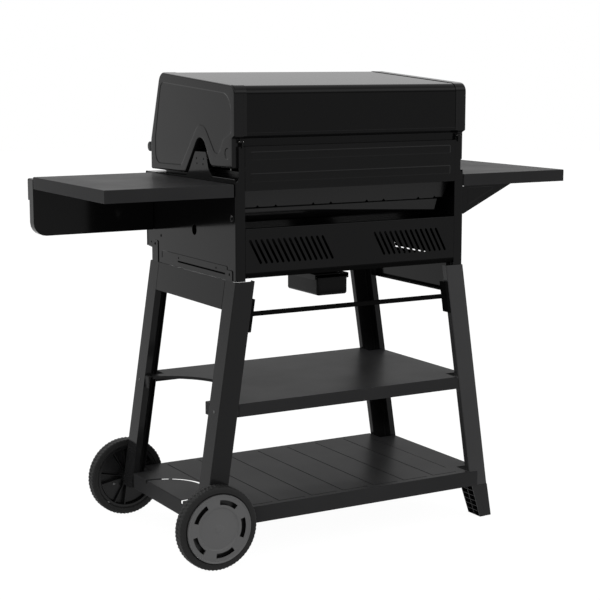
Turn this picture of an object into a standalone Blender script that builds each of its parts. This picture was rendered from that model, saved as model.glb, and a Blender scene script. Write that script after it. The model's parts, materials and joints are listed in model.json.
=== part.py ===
"""Cart gas barbecue: hinged lid, three burners, two side shelves, two wheels and two feet.

Metres, +Z up. +X is the user's right (the wheel side), -Y the front, +Y the back.
The origin is on the ground, under the middle of the cart.
"""

from math import acos, atan2, cos, degrees, pi, radians, sin, tan

import bmesh
import bpy
from mathutils import Matrix, Vector

# Gaps and sheet thickness
GAP = 0.0005
SHEET = 0.0015

# Firebox: side panels, back panels and posts
PANEL_X = 0.3140
BACK_Y = 0.2295
PANEL_FRONT_Y = -0.2470
PANEL_BOTTOM_Z = 0.6555
PANEL_TOP_Z = 0.8876
POST_WIDTH = 0.0245
POST_NECK_X = 0.3050
POST_TOP_Z = 0.9610
TAB_HOLES = ((0.0335, 0.9250), (0.0703, 0.9250), (0.0359, 0.9130), (0.0674, 0.9130))

# Legs
LEG_TOP_Z = 0.6547
LEG_TOP_X = 0.3159
LEG_LEAN = 0.1520
LEG_Y = 0.2320
LEG_FACE = 0.0500
LEG_SIDE = 0.0522
LEG_RETURN = 0.0180
LEG_SHEET = 0.0018
LEG_BOTTOM_Z = 0.0855

# Shelves between the legs
MID_TOP_Z = 0.3715
MID_LIP = 0.0300
LOW_TOP_Z = 0.1241
LOW_LIP = 0.0386
MID_LIP_Y = 0.2287
LOW_LIP_Y = 0.2342
TANK_X = 0.3900
TANK_CUT_RADIUS = 0.1640
FOOT_RING_RADIUS = 0.1005

# Wheels
WHEEL_RADIUS = 0.0985
WHEEL_X = 0.3830
WHEEL_Y = 0.2560
TYRE_WIDTH = 0.0300
TYRE_INNER = 0.0808
AXLE_RADIUS = 0.0050

# Side shelves
SHELF_TOP_Z = 0.8770
SHELF_LIP = 0.0290
SHELF_X = (0.3165, 0.6300)
SHELF_BACK_Y = 0.2300
SHELF_FRONT_Y = {1: -0.2080, -1: -0.2300}

# Control panel
CONTROL_Y = -0.2555
CONTROL_Z = (0.6900, 0.8780)
KNOB_Z = 0.7900
KNOB_XS = (0.18, 0.0, -0.18)
KNOB_NAMES = ("right", "middle", "left")
KNOB_TRAVEL = 0.005
IGNITER_X = 0.2550
BURNER_Z = 0.8000
BURNER_RADIUS = 0.0125

# Lid
LID_CAP_X = (0.2940, 0.3170)
HINGE_Y = 0.2290
HINGE_Z = 0.9720
EYE_X = (0.2945, 0.2985)
LEAF_X = (0.2990, 0.3030)
EYE_RADIUS = 0.0040
PIN_RADIUS = 0.0018
HANDLE_Y = -0.2620
HANDLE_Z = 0.9380

# Grease catch box under the firebox
BOX_X = 0.0425
BOX_Y = (-0.0170, 0.1350)
BOX_Z = (0.5900, 0.6340)


# ---------------------------------------------------------------- materials

FINISHES = {
    "enamel": ((0.010, 0.010, 0.011), 0.0, 0.22),
    "powder_coat": ((0.016, 0.016, 0.017), 0.0, 0.32),
    "cast_iron": ((0.020, 0.019, 0.018), 0.0, 0.60),
    "steel": ((0.45, 0.44, 0.42), 1.0, 0.30),
    "brass": ((0.60, 0.44, 0.20), 1.0, 0.30),
    "plastic": ((0.014, 0.014, 0.015), 0.0, 0.45),
    "hubcap_grey": ((0.075, 0.075, 0.075), 0.0, 0.40),
    "rubber": ((0.012, 0.012, 0.012), 0.0, 0.80),
}


def material_of(finish, owner):
    """The finish as a material of the sub-part's own."""
    colour, metallic, roughness = FINISHES[finish]
    material = bpy.data.materials.new(f"{owner}_{finish}")
    material.use_nodes = True
    shader = material.node_tree.nodes["Principled BSDF"]
    shader.inputs["Base Color"].default_value = (*colour, 1.0)
    shader.inputs["Metallic"].default_value = metallic
    shader.inputs["Roughness"].default_value = roughness
    return material


# ------------------------------------------------------------ mesh builders

def clear_scene():
    for old in list(bpy.data.objects):
        bpy.data.objects.remove(old, do_unlink=True)


def add_object(name, bm, finish, origin=(0.0, 0.0, 0.0), smooth=False):
    """The mesh as a named object. Its points are in world places; origin becomes its own origin."""
    bmesh.ops.remove_doubles(bm, verts=bm.verts, dist=1e-6)
    bmesh.ops.recalc_face_normals(bm, faces=bm.faces)
    bmesh.ops.translate(bm, verts=bm.verts, vec=-Vector(origin))
    mesh = bpy.data.meshes.new(name)
    bm.to_mesh(mesh)
    bm.free()
    if smooth:
        mesh.shade_smooth()
        mesh.set_sharp_from_angle(angle=radians(35))
    placed = bpy.data.objects.new(name, mesh)
    placed.location = origin
    placed.data.materials.append(material_of(finish, name))
    bpy.context.scene.collection.objects.link(placed)
    return placed


def add_cutter(target, bm, operation="DIFFERENCE"):
    """A hidden helper object that a Boolean takes from the target, or joins to it."""
    bmesh.ops.recalc_face_normals(bm, faces=bm.faces)
    mesh = bpy.data.meshes.new("cutter")
    bm.to_mesh(mesh)
    bm.free()
    cutter = bpy.data.objects.new(f"{target.name}_{operation.lower()}", mesh)
    cutter.hide_render = True
    cutter.display_type = "WIRE"
    bpy.context.scene.collection.objects.link(cutter)
    boolean = target.modifiers.new(operation.lower(), "BOOLEAN")
    boolean.operation = operation
    boolean.object = cutter
    boolean.solver = "EXACT"


def add_box(bm, low, high):
    """An axis-aligned box from its two corners."""
    centre = (Vector(low) + Vector(high)) / 2
    size = Vector(high) - Vector(low)
    matrix = Matrix.Translation(centre) @ Matrix.Diagonal((*size, 1.0))
    return bmesh.ops.create_cube(bm, size=1.0, matrix=matrix)["verts"]


def box_mesh(low, high):
    bm = bmesh.new()
    add_box(bm, low, high)
    return bm


def add_rod(bm, start, end, radius, sides=12):
    """A round bar between two points."""
    start, end = Vector(start), Vector(end)
    turn = (end - start).to_track_quat("Z", "Y").to_matrix().to_4x4()
    matrix = Matrix.Translation((start + end) / 2) @ turn
    depth = (end - start).length
    bmesh.ops.create_cone(
        bm, cap_ends=True, segments=sides, radius1=radius, radius2=radius, depth=depth, matrix=matrix
    )


def rod_mesh(start, end, radius, sides=12):
    bm = bmesh.new()
    add_rod(bm, start, end, radius, sides)
    return bm


def on_plane(plane, along, across, height):
    """A point from its two plane coordinates and its place along the third axis."""
    if plane == "YZ":
        return Vector((height, along, across))
    if plane == "XZ":
        return Vector((along, height, across))
    return Vector((along, across, height))


def sheet_mesh(plane, outline, low, high, holes=()):
    """A flat plate from low to high across its plane, with its outline and its holes."""
    bm = bmesh.new()
    edges = []
    for loop in (outline, *holes):
        verts = [bm.verts.new(on_plane(plane, a, b, low)) for a, b in loop]
        edges += [bm.edges.new((verts[i - 1], verts[i])) for i in range(len(verts))]
    bmesh.ops.triangle_fill(bm, use_beauty=True, use_dissolve=False, edges=edges)
    thickness = on_plane(plane, 0.0, 0.0, high - low)
    grown = bmesh.ops.extrude_face_region(bm, geom=list(bm.faces))["geom"]
    lifted = [item for item in grown if isinstance(item, bmesh.types.BMVert)]
    bmesh.ops.translate(bm, verts=lifted, vec=thickness)
    return bm


def turned_mesh(profile, base, direction, sides=32, closed=False):
    """A turned piece. The profile is (radius, distance along direction from base)."""
    bm = bmesh.new()
    verts = [bm.verts.new((radius, 0.0, along)) for radius, along in profile]
    pairs = list(zip(verts, verts[1:]))
    if closed:
        pairs.append((verts[-1], verts[0]))
    edges = [bm.edges.new(pair) for pair in pairs]
    bmesh.ops.spin(
        bm, geom=verts + edges, cent=(0, 0, 0), axis=(0, 0, 1), angle=2 * pi, steps=sides, use_merge=True
    )
    bmesh.ops.remove_doubles(bm, verts=bm.verts, dist=1e-5)
    turn = Vector(direction).to_track_quat("Z", "X").to_matrix().to_4x4()
    bmesh.ops.transform(bm, matrix=Matrix.Translation(base) @ turn, verts=bm.verts)
    return bm


def loft_mesh(sections):
    """A solid through matching rings of points, closed at both ends."""
    bm = bmesh.new()
    rings = [[bm.verts.new(point) for point in section] for section in sections]
    count = len(rings[0])
    bm.faces.new(list(reversed(rings[0])))
    bm.faces.new(rings[-1])
    for lower, upper in zip(rings, rings[1:]):
        for i in range(count):
            j = (i + 1) % count
            bm.faces.new((lower[i], lower[j], upper[j], upper[i]))
    return bm


def circle(centre, radius, sides=16, start=0.0):
    turns = [start + 2 * pi * i / sides for i in range(sides)]
    return [(centre[0] + radius * cos(t), centre[1] + radius * sin(t)) for t in turns]


def rectangle(low, high):
    return [(low[0], low[1]), (high[0], low[1]), (high[0], high[1]), (low[0], high[1])]


def arc(centre, radius, first, last, steps):
    turns = [radians(first + (last - first) * i / steps) for i in range(steps + 1)]
    return [(centre[0] + radius * cos(t), centre[1] + radius * sin(t)) for t in turns]


def rounded(corners, steps=4):
    """An outline whose corners (a, b, radius) are rounded with short arcs."""
    outline = []
    for i, (a, b, radius) in enumerate(corners):
        here = Vector((a, b))
        before = (Vector(corners[i - 1][:2]) - here).normalized()
        after = (Vector(corners[(i + 1) % len(corners)][:2]) - here).normalized()
        if radius == 0:
            outline.append((a, b))
            continue
        half = before.angle(after) / 2
        middle = here + (before + after).normalized() * radius / sin(half)
        first = here + before * radius / tan(half)
        last = here + after * radius / tan(half)
        turn_first = atan2(first.y - middle.y, first.x - middle.x)
        sweep = atan2(last.y - middle.y, last.x - middle.x) - turn_first
        sweep = (sweep + pi) % (2 * pi) - pi
        for k in range(steps + 1):
            t = turn_first + sweep * k / steps
            outline.append((middle.x + radius * cos(t), middle.y + radius * sin(t)))
    return outline


def inset(outline, distance, closed=True):
    """The outline moved inwards by the distance (to its left as it runs anticlockwise)."""
    points = [Vector(p) for p in outline]
    moved = []
    for i, here in enumerate(points):
        before = points[i - 1] if closed or i > 0 else here - (points[1] - here)
        after = points[(i + 1) % len(points)] if closed or i < len(points) - 1 else here + (here - before)
        first = (here - before).normalized()
        second = (after - here).normalized()
        normal = (Vector((-first.y, first.x)) + Vector((-second.y, second.x))).normalized()
        scale = distance / max(0.5, normal.dot(Vector((-first.y, first.x))))
        moved.append(tuple(here + normal * scale))
    return moved


# ---------------------------------------------------------------------- cart

def leg_x(z):
    """The outer face of a leg on the +X side at this height."""
    return LEG_TOP_X + (LEG_TOP_Z - z) * LEG_LEAN


def leg_section(side, end, z):
    """The channel section of a leg: outer side, main face and inner return."""
    outer = leg_x(z)
    inner = outer - LEG_FACE
    corners = [
        (outer, LEG_Y - LEG_SIDE),
        (outer, LEG_Y),
        (inner, LEG_Y),
        (inner, LEG_Y - LEG_RETURN),
        (inner + LEG_SHEET, LEG_Y - LEG_RETURN),
        (inner + LEG_SHEET, LEG_Y - LEG_SHEET),
        (outer - LEG_SHEET, LEG_Y - LEG_SHEET),
        (outer - LEG_SHEET, LEG_Y - LEG_SIDE),
    ]
    return [(side * x, end * y, z) for x, y in corners]


def make_legs():
    """Four leaning channel legs. Each has a tab that laps over the side panel."""
    tab_width = 0.028
    tab_top = {-1: 0.7085, 1: 0.6796}
    for side, side_name in ((1, "right"), (-1, "left")):
        for end, end_name in ((-1, "front"), (1, "rear")):
            sections = [leg_section(side, end, LEG_BOTTOM_Z), leg_section(side, end, LEG_TOP_Z)]
            leg = add_object(f"leg_{end_name}_{side_name}", loft_mesh(sections), "powder_coat")
            tab_edge = LEG_Y - LEG_SIDE + 0.0060
            tab_y = sorted((end * tab_edge, end * (tab_edge + tab_width)))
            tab_x = sorted((side * (LEG_TOP_X - SHEET), side * LEG_TOP_X))
            tab = box_mesh((tab_x[0], tab_y[0], LEG_TOP_Z - 0.0015), (tab_x[1], tab_y[1], tab_top[end]))
            add_cutter(leg, tab, "UNION")
            if side > 0:
                start = (WHEEL_X, end * (LEG_Y - 0.01), WHEEL_RADIUS)
                finish = (WHEEL_X, end * (LEG_Y + 0.01), WHEEL_RADIUS)
                add_cutter(leg, rod_mesh(start, finish, AXLE_RADIUS + 0.0005))


def make_feet():
    """Tapered plastic feet that carry the -X legs down to the ground."""
    for end, end_name in ((-1, "front"), (1, "rear")):
        top_z = LEG_BOTTOM_Z - GAP
        top = [(-0.3561, LEG_Y - 0.0545), (-0.4034, LEG_Y - 0.0545), (-0.4034, LEG_Y), (-0.3561, LEG_Y)]
        foot = [(-0.3831, LEG_Y - 0.0502), (-0.4181, LEG_Y - 0.0502), (-0.4181, LEG_Y), (-0.3831, LEG_Y)]
        sections = [
            [(x, end * y, 0.0) for x, y in foot],
            [(x, end * y, top_z) for x, y in top],
        ]
        add_object(f"foot_{end_name}_left", loft_mesh(sections), "plastic")


def make_aprons():
    """The plates under the side panels, between the two legs of each side."""
    half = LEG_Y - LEG_SIDE - 0.0015
    top_z, flange = LEG_TOP_Z, 0.0150
    for side, name, bottom_z in ((1, "right", 0.5870), (-1, "left", 0.5790)):
        outer_top, outer_bottom = leg_x(top_z), leg_x(bottom_z)
        profile = [
            (outer_bottom, bottom_z),
            (outer_top, top_z),
            (outer_top - SHEET, top_z),
            (outer_bottom - SHEET, bottom_z + SHEET),
            (outer_bottom - flange, bottom_z + SHEET),
            (outer_bottom - flange, bottom_z),
        ]
        sections = [[(side * x, y, z) for x, z in profile] for y in (-half, half)]
        add_object(f"apron_{name}", loft_mesh(sections), "powder_coat")


def make_cross_brace():
    """The rear bar between the legs, with a leaning end plate at each leg."""
    bar_z, bar_y, plate_y = (0.5720, 0.5820), (0.2100, 0.2200), (0.2050, 0.2300)
    reach = leg_x(bar_z[1]) - LEG_FACE - GAP - SHEET / 2
    bar = box_mesh((-reach, bar_y[0], bar_z[0]), (reach, bar_y[1], bar_z[1]))
    brace = add_object("cross_brace", bar, "powder_coat")
    for side in (1, -1):
        sections = []
        for level in (0.5370, 0.6130):
            outer = leg_x(level) - LEG_FACE - GAP
            ring = rectangle((outer - 0.0070, plate_y[0]), (outer, plate_y[1]))
            sections.append([(side * x, y, level) for x, y in ring])
        add_cutter(brace, loft_mesh(sections), "UNION")
    add_cutter(brace, rod_mesh((0.0, bar_y[0] - 0.01, 0.5770), (0.0, bar_y[1] + 0.01, 0.5770), 0.0025, 8))


def notched_corners(level, side_x, lip_y):
    """One quarter of a shelf's outline, notched where the leg stands, from +X round to +Y."""
    notch_x = leg_x(level) - LEG_FACE - 0.0022
    notch_y = LEG_Y - LEG_SIDE - 0.0013
    return [(side_x, notch_y), (notch_x, notch_y), (notch_x, lip_y)]


def add_lip(shelf, low, high):
    """A folded edge: a plate between two corners, joined to the shelf."""
    corners = [sorted(pair) for pair in zip(low, high)]
    add_cutter(shelf, box_mesh([c[0] for c in corners], [c[1] for c in corners]), "UNION")


def make_mid_shelf():
    """The middle shelf. Its +X edge is cut away in an arc round the gas cylinder's place."""
    side_x = 0.3530
    quarter = notched_corners(MID_TOP_Z, side_x, MID_LIP_Y)
    corner_x = 0.3500
    half_angle = degrees(acos((TANK_X - corner_x) / TANK_CUT_RADIUS))
    cut = arc((TANK_X, 0.0), TANK_CUT_RADIUS, 180 - half_angle, 180 + half_angle, 14)
    right = [(corner_x, quarter[0][1]), *quarter[1:]]
    outline = [
        *right,
        *[(-x, y) for x, y in reversed(quarter)],
        *[(-x, -y) for x, y in quarter],
        *[(x, -y) for x, y in reversed(right)],
        *reversed(cut),
    ]
    shelf = add_object(
        "mid_shelf", sheet_mesh("XY", outline, MID_TOP_Z - SHEET, MID_TOP_Z), "powder_coat"
    )
    low_z, lip_x = MID_TOP_Z - MID_LIP, 0.3080
    for end in (-1, 1):
        outer_y = end * MID_LIP_Y
        add_lip(shelf, (-lip_x, outer_y - end * SHEET, low_z), (lip_x, outer_y, MID_TOP_Z))
    notch_y = quarter[0][1]
    add_lip(shelf, (-side_x, -notch_y, low_z), (SHEET - side_x, notch_y, MID_TOP_Z))
    edge = arc((TANK_X, 0.0), TANK_CUT_RADIUS + SHEET, 180 - half_angle + 1, 180 + half_angle - 1, 14)
    edge += arc((TANK_X, 0.0), TANK_CUT_RADIUS, 180 + half_angle - 1, 180 - half_angle + 1, 14)
    add_cutter(shelf, sheet_mesh("XY", edge, MID_TOP_Z - 0.0070, MID_TOP_Z - SHEET / 2), "UNION")
    clip_x, clip_y = 0.3590, (notch_y - 0.0200, notch_y - 0.0005)
    for end in (-1, 1):
        near, far = end * clip_y[0], end * clip_y[1]
        add_lip(shelf, (corner_x - 0.0050, near, MID_TOP_Z - SHEET), (clip_x, far, MID_TOP_Z))
        add_lip(shelf, (clip_x - SHEET, near, low_z), (clip_x, far, MID_TOP_Z))


def ring_slot(first, last):
    """A curved slot, from one angle to the other, where the cylinder's foot ring stands."""
    width, steps = 0.0100, max(3, round(abs(last - first) / 10))
    outside = arc((TANK_X, 0.0), FOOT_RING_RADIUS + width / 2, first, last, steps)
    inside = arc((TANK_X, 0.0), FOOT_RING_RADIUS - width / 2, last, first, steps)
    return outside + inside


def make_low_shelf():
    """The bottom shelf, with three curved slots that seat the gas cylinder's foot ring."""
    side_x, lip_x = 0.3950, 0.3700
    quarter = notched_corners(LOW_TOP_Z - LOW_LIP, side_x, LOW_LIP_Y)
    notch_x = 0.3445
    quarter = [quarter[0], (notch_x, quarter[1][1]), (notch_x, LOW_LIP_Y)]
    outline = [
        *quarter,
        *[(-x, y) for x, y in reversed(quarter)],
        *[(-x, -y) for x, y in quarter],
        *[(x, -y) for x, y in reversed(quarter)],
    ]
    shelf = add_object("low_shelf", sheet_mesh("XY", outline, LOW_TOP_Z - SHEET, LOW_TOP_Z), "powder_coat")
    low_z = LOW_TOP_Z - LOW_LIP
    notch_y = quarter[0][1]
    for end in (-1, 1):
        outer_y = end * LOW_LIP_Y
        add_lip(shelf, (-lip_x, outer_y - end * SHEET, low_z), (lip_x, outer_y, LOW_TOP_Z))
        outer_x = end * side_x
        add_lip(shelf, (outer_x - end * SHEET, -notch_y, low_z), (outer_x, notch_y, LOW_TOP_Z))
    for first, last in ((80, 119.5), (124.5, 235.5), (240.5, 280)):
        add_cutter(shelf, sheet_mesh("XY", ring_slot(first, last), LOW_TOP_Z - 0.0080, LOW_TOP_Z + 0.0050))


# -------------------------------------------------------------------- wheels

def make_wheels():
    """Two wheels on one axle: a rubber tyre, a moulded wheel and a pressed cover on each."""
    axle = rod_mesh((WHEEL_X, -0.2660, WHEEL_RADIUS), (WHEEL_X, 0.2660, WHEEL_RADIUS), AXLE_RADIUS, 16)
    add_object("axle", axle, "steel", (WHEEL_X, 0.0, WHEEL_RADIUS), smooth=True)
    half, bore, rim = TYRE_WIDTH / 2, AXLE_RADIUS + 0.0005, TYRE_INNER - 0.0005
    tyre_profile = [
        (TYRE_INNER, -half + 0.002), (0.0930, -half), (WHEEL_RADIUS, -half + 0.005),
        (WHEEL_RADIUS, half - 0.005), (0.0930, half), (TYRE_INNER, half - 0.002),
    ]
    hub_profile = [
        (bore, -0.0210), (0.0150, -0.0210), (0.0160, 0.0020), (0.0730, 0.0020), (0.0740, -0.0125),
        (rim, -0.0125), (rim, 0.0125), (0.0750, 0.0125), (0.0740, 0.0060), (0.0150, 0.0060), (bore, 0.0060),
    ]
    cover_profile = [
        (0.0, 0.0125), (0.0470, 0.0125), (0.0505, 0.0145), (0.0782, 0.0145), (0.0794, 0.0130),
        (0.0801, 0.0135), (0.0801, 0.0180), (0.0784, 0.0195), (0.0764, 0.0180), (0.0515, 0.0170),
        (0.0485, 0.0150), (0.0117, 0.0150), (0.0107, 0.0180), (0.0, 0.0190),
    ]
    for end, name in ((-1, "front"), (1, "rear")):
        centre = (WHEEL_X, end * WHEEL_Y, WHEEL_RADIUS)
        out = (0, end, 0)
        tyre = turned_mesh(tyre_profile, centre, out, 36, closed=True)
        add_object(f"tyre_{name}", tyre, "rubber", centre, smooth=True)
        hub = turned_mesh(hub_profile, centre, out, 30, closed=True)
        add_object(f"wheel_hub_{name}", hub, "plastic", centre, smooth=True)
        cover_mesh = turned_mesh(cover_profile, centre, out, 30)
        cover = add_object(f"hubcap_{name}", cover_mesh, "hubcap_grey", centre, smooth=True)
        slots = bmesh.new()
        for k in range(5):
            turn = radians(72 * k + 184.6)
            add_wedge(slots, centre, end, turn, (0.0565, 0.0682), radians(21), (0.0080, 0.0240))
        add_cutter(cover, slots)


def add_wedge(bm, base, end, turn, radii, half_angle, span):
    """A curved block round a wheel's axis, used to cut a slot."""
    steps = 2
    turns = [turn - half_angle + 2 * half_angle * i / steps for i in range(steps + 1)]
    flat = [(radii[1], t) for t in turns] + [(radii[0], t) for t in reversed(turns)]
    rings = []
    for along in span:
        ring = []
        for radius, t in flat:
            place = Vector((radius * cos(t), end * along, radius * sin(t))) + Vector(base)
            ring.append(bm.verts.new(place))
        rings.append(ring)
    bm.faces.new(rings[0])
    bm.faces.new(list(reversed(rings[1])))
    count = len(flat)
    for i in range(count):
        j = (i + 1) % count
        bm.faces.new((rings[0][j], rings[0][i], rings[1][i], rings[1][j]))


# ------------------------------------------------------------------- firebox

def side_panel_outline():
    """The side panel in YZ: a front step, and a tab that stands up in the lid's notch."""
    return rounded([
        (PANEL_FRONT_Y, 0.6900, 0.0),
        (-0.2240, 0.6880, 0.0),
        (-0.2240, PANEL_BOTTOM_Z, 0.0),
        (BACK_Y - SHEET / 2, PANEL_BOTTOM_Z, 0.0),
        (BACK_Y - SHEET / 2, PANEL_TOP_Z, 0.0),
        (0.1148, PANEL_TOP_Z, 0.015),
        (0.0957, 0.9031, 0.010),
        (0.0816, 0.9423, 0.003),
        (0.0265, 0.9411, 0.003),
        (-0.0057, 0.8957, 0.010),
        (-0.0240, 0.8810, 0.015),
        (PANEL_FRONT_Y, 0.8780, 0.004),
    ], steps=3)


def make_side_panels():
    """Folded side panels. Each one's rear flange is the corner post, and carries a hinge eye."""
    holes = [
        circle((0.0180, 0.7550), 0.0140, 16),
        circle((-0.1690, 0.7226), 0.0035, 8),
        circle((-0.2274, 0.7014), 0.0025, 8),
        rectangle((-0.0700, 0.6680), (0.1775, 0.6702)),
        rectangle((-0.1615, 0.6680), (-0.1595, 0.6855)),
    ]
    holes += [circle(place, 0.0020, 8) for place in TAB_HOLES]
    for side, name in ((1, "right"), (-1, "left")):
        low, high = sorted((side * (PANEL_X - SHEET), side * PANEL_X))
        panel = add_object(
            f"side_panel_{name}", sheet_mesh("YZ", side_panel_outline(), low, high, holes), "powder_coat"
        )
        post = [
            (side * (PANEL_X - POST_WIDTH), PANEL_BOTTOM_Z),
            (side * (PANEL_X - SHEET / 2), PANEL_BOTTOM_Z),
            (side * (PANEL_X - SHEET / 2), PANEL_TOP_Z - 0.009),
            (side * POST_NECK_X, PANEL_TOP_Z),
            (side * POST_NECK_X, POST_TOP_Z),
            (side * (PANEL_X - POST_WIDTH), POST_TOP_Z),
        ]
        add_cutter(panel, sheet_mesh("XZ", post, BACK_Y - SHEET, BACK_Y), "UNION")
        eye_x = sorted((side * EYE_X[0], side * EYE_X[1]))
        add_cutter(panel, sheet_mesh("YZ", hinge_eye_outline(), *eye_x), "UNION")
        bore_start = (side * (EYE_X[0] - 0.005), HINGE_Y, HINGE_Z)
        bore_end = (side * (EYE_X[1] + 0.005), HINGE_Y, HINGE_Z)
        add_cutter(panel, rod_mesh(bore_start, bore_end, PIN_RADIUS + 0.0004))


def hinge_eye_outline():
    """A short upright ear with a round top, centred on the hinge axis."""
    foot_z = POST_TOP_Z - 0.0040
    top = arc((HINGE_Y, HINGE_Z), EYE_RADIUS, 0, 180, 6)
    return [(HINGE_Y - EYE_RADIUS, foot_z), (HINGE_Y + EYE_RADIUS, foot_z), *top]


def make_rear_panels():
    """The heat shield across the back of the lid gap, and the slotted vent panel under it.

    The vent panel's foot is folded forward as a tray that closes the firebox underneath.
    """
    reach = PANEL_X - POST_WIDTH - GAP
    shield_z, vent_z = (0.8605, POST_TOP_Z), (0.6605, 0.7750)
    shield_plate = box_mesh((-reach, BACK_Y - SHEET, shield_z[0]), (reach, BACK_Y, shield_z[1]))
    shield = add_object("rear_heat_shield", shield_plate, "powder_coat")
    slots = []
    slot_z, slot_half, slot_lean, pitch = (0.6925, 0.7500), 0.0030, 0.0275, 0.0147
    for count, first_x in ((14, 0.2770), (13, -0.0583)):
        for k in range(count):
            top_x = first_x - pitch * k
            foot_x = top_x - slot_lean
            slots.append([
                (foot_x - slot_half, slot_z[0]), (foot_x + slot_half, slot_z[0]),
                (top_x + slot_half, slot_z[1]), (top_x - slot_half, slot_z[1]),
            ])
    outline = rectangle((-reach, vent_z[0]), (reach, vent_z[1]))
    vent_plate = sheet_mesh("XZ", outline, BACK_Y - SHEET, BACK_Y, slots)
    vent = add_object("rear_vent_panel", vent_plate, "powder_coat")
    fold_y = (BACK_Y - 0.0120, BACK_Y - SHEET / 2)
    for panel, z in ((shield, shield_z[0]), (vent, vent_z[1] - SHEET)):
        fold = box_mesh((-reach, fold_y[0], z), (reach, fold_y[1], z + SHEET))
        add_cutter(panel, fold, "UNION")
    tray = box_mesh((-reach, -0.2200, vent_z[0]), (reach, BACK_Y - SHEET / 2, vent_z[0] + SHEET))
    add_cutter(vent, tray, "UNION")
    front = box_mesh((-reach, -0.2200, vent_z[0]), (reach, SHEET - 0.2200, 0.6960))
    add_cutter(vent, front, "UNION")
    add_cutter(vent, box_mesh((-0.0320, 0.0330, vent_z[0] - 0.0050), (0.0320, 0.0970, vent_z[0] + 0.0100)))


def make_cookbox():
    """The firebox tub: open at the top, with a hopper down to the grease outlet."""
    wall = 0.0020
    levels = [
        (PANEL_BOTTOM_Z, -0.0300, 0.0300, 0.0350, 0.0950),
        (0.6850, -0.0300, 0.0300, 0.0350, 0.0950),
        (0.7205, -0.2504, 0.2504, -0.1200, 0.1300),
        (0.7800, -0.2510, 0.2600, -0.1300, 0.1400),
        (0.7910, -0.2529, 0.2720, -0.1650, 0.1950),
        (0.8170, -0.2603, 0.2760, -0.1700, 0.1960),
        (0.8210, -0.2731, 0.2800, -0.1800, 0.2010),
        (0.8600, -0.2880, 0.2880, -0.1900, 0.2030),
        (0.9020, -0.2880, 0.2880, -0.1900, 0.2030),
    ]
    bm = bmesh.new()
    shells = []
    for offset in (0.0, wall):
        rings = []
        for z, left, right, front, back in levels:
            ring = rectangle((left + offset, front + offset), (right - offset, back - offset))
            rings.append([bm.verts.new((x, y, z)) for x, y in ring])
        shells.append(rings)
    pairs = [pair for rings in shells for pair in zip(rings, rings[1:])]
    pairs += [(shells[0][0], shells[1][0]), (shells[0][-1], shells[1][-1])]
    for first, second in pairs:
        for i in range(4):
            j = (i + 1) % 4
            bm.faces.new((first[i], first[j], second[j], second[i]))
    tub = add_object("cookbox", bm, "enamel")
    ports = bmesh.new()
    for x in KNOB_XS:
        add_rod(ports, (x, -0.2000, BURNER_Z), (x, -0.1200, BURNER_Z), BURNER_RADIUS + 0.0020)
    add_cutter(tub, ports)
    ledge_z = (0.8700, 0.8730)
    for wall_y, inner_y in ((-0.1890, -0.1760), (0.2020, 0.1890)):
        add_lip(tub, (-0.2870, wall_y, ledge_z[0]), (0.2870, inner_y, ledge_z[1]))


def make_cooking_parts():
    """Burners, flame tents, grates and the warming rack inside the firebox."""
    for x, name in zip(KNOB_XS, KNOB_NAMES):
        tube = rod_mesh((x, -0.1970, BURNER_Z), (x, 0.1600, BURNER_Z), BURNER_RADIUS, 16)
        add_object(f"burner_{name}", tube, "steel", smooth=True)
        top = [(x - 0.0300, 0.8320), (x, 0.8480), (x + 0.0300, 0.8320)]
        under = [(a, z - SHEET) for a, z in reversed(top)]
        add_object(f"flame_tent_{name}", sheet_mesh("XZ", top + under, -0.1780, 0.1900), "enamel")
    bars, edge, rib = 11, 0.0060, 0.0040
    low, high, grate_y, slot_y = 0.0040, 0.2780, (-0.1860, 0.1990), (-0.1740, 0.1870)
    pitch = (high - low - 2 * edge) / bars
    for side, name in ((1, "right"), (-1, "left")):
        slots = []
        for k in range(bars):
            start = low + edge + pitch * k
            span = sorted((side * (start + rib), side * (start + pitch - rib)))
            slots.append(rectangle((span[0], slot_y[0]), (span[1], slot_y[1])))
        span = sorted((side * low, side * high))
        outline = rectangle((span[0], grate_y[0]), (span[1], grate_y[1]))
        grate = sheet_mesh("XY", outline, 0.8735, 0.8855, slots)
        add_object(f"cooking_grate_{name}", grate, "cast_iron")
    make_warming_rack()


def make_warming_rack():
    """A raised rack over the back of the grates. Its legs stand on the firebox rim."""
    front, back, half, rod = 0.0300, 0.1550, 0.2875, 0.0050
    top_z, rim_z, gaps = 0.9880, 0.9024, 7
    pitch = (back - front - rod) / gaps
    slots = []
    for k in range(gaps):
        start = front + rod + pitch * k
        slots.append(rectangle((rod - half, start), (half - rod, start + pitch - rod)))
    outline = rectangle((-half, front), (half, back))
    rack = add_object("warming_rack", sheet_mesh("XY", outline, top_z - rod, top_z, slots), "steel")
    for side in (1, -1):
        for y in (front, back - rod):
            outer_x = side * (half - 0.0002)
            low = (outer_x - side * 0.0020, y + 0.0005, rim_z)
            high = (outer_x, y + rod - 0.0005, top_z - 0.0020)
            add_lip(rack, low, high)


# --------------------------------------------------------------- gas controls

def make_control_panel():
    """The front panel, folded back at its top and bottom edges."""
    holes = [circle((x, KNOB_Z), 0.0065, 12) for x in KNOB_XS]
    holes.append(circle((IGNITER_X, KNOB_Z), 0.0085, 12))
    outline = rectangle((-PANEL_X, CONTROL_Z[0]), (PANEL_X, CONTROL_Z[1]))
    plate = sheet_mesh("XZ", outline, CONTROL_Y, CONTROL_Y + SHEET, holes)
    panel = add_object("control_panel", plate, "powder_coat")
    fold_x = PANEL_X - 2 * SHEET
    for z, depth in ((CONTROL_Z[1] - SHEET, 0.0500), (CONTROL_Z[0], 0.0250)):
        add_lip(panel, (-fold_x, CONTROL_Y, z), (fold_x, CONTROL_Y + depth, z + SHEET))


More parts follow.
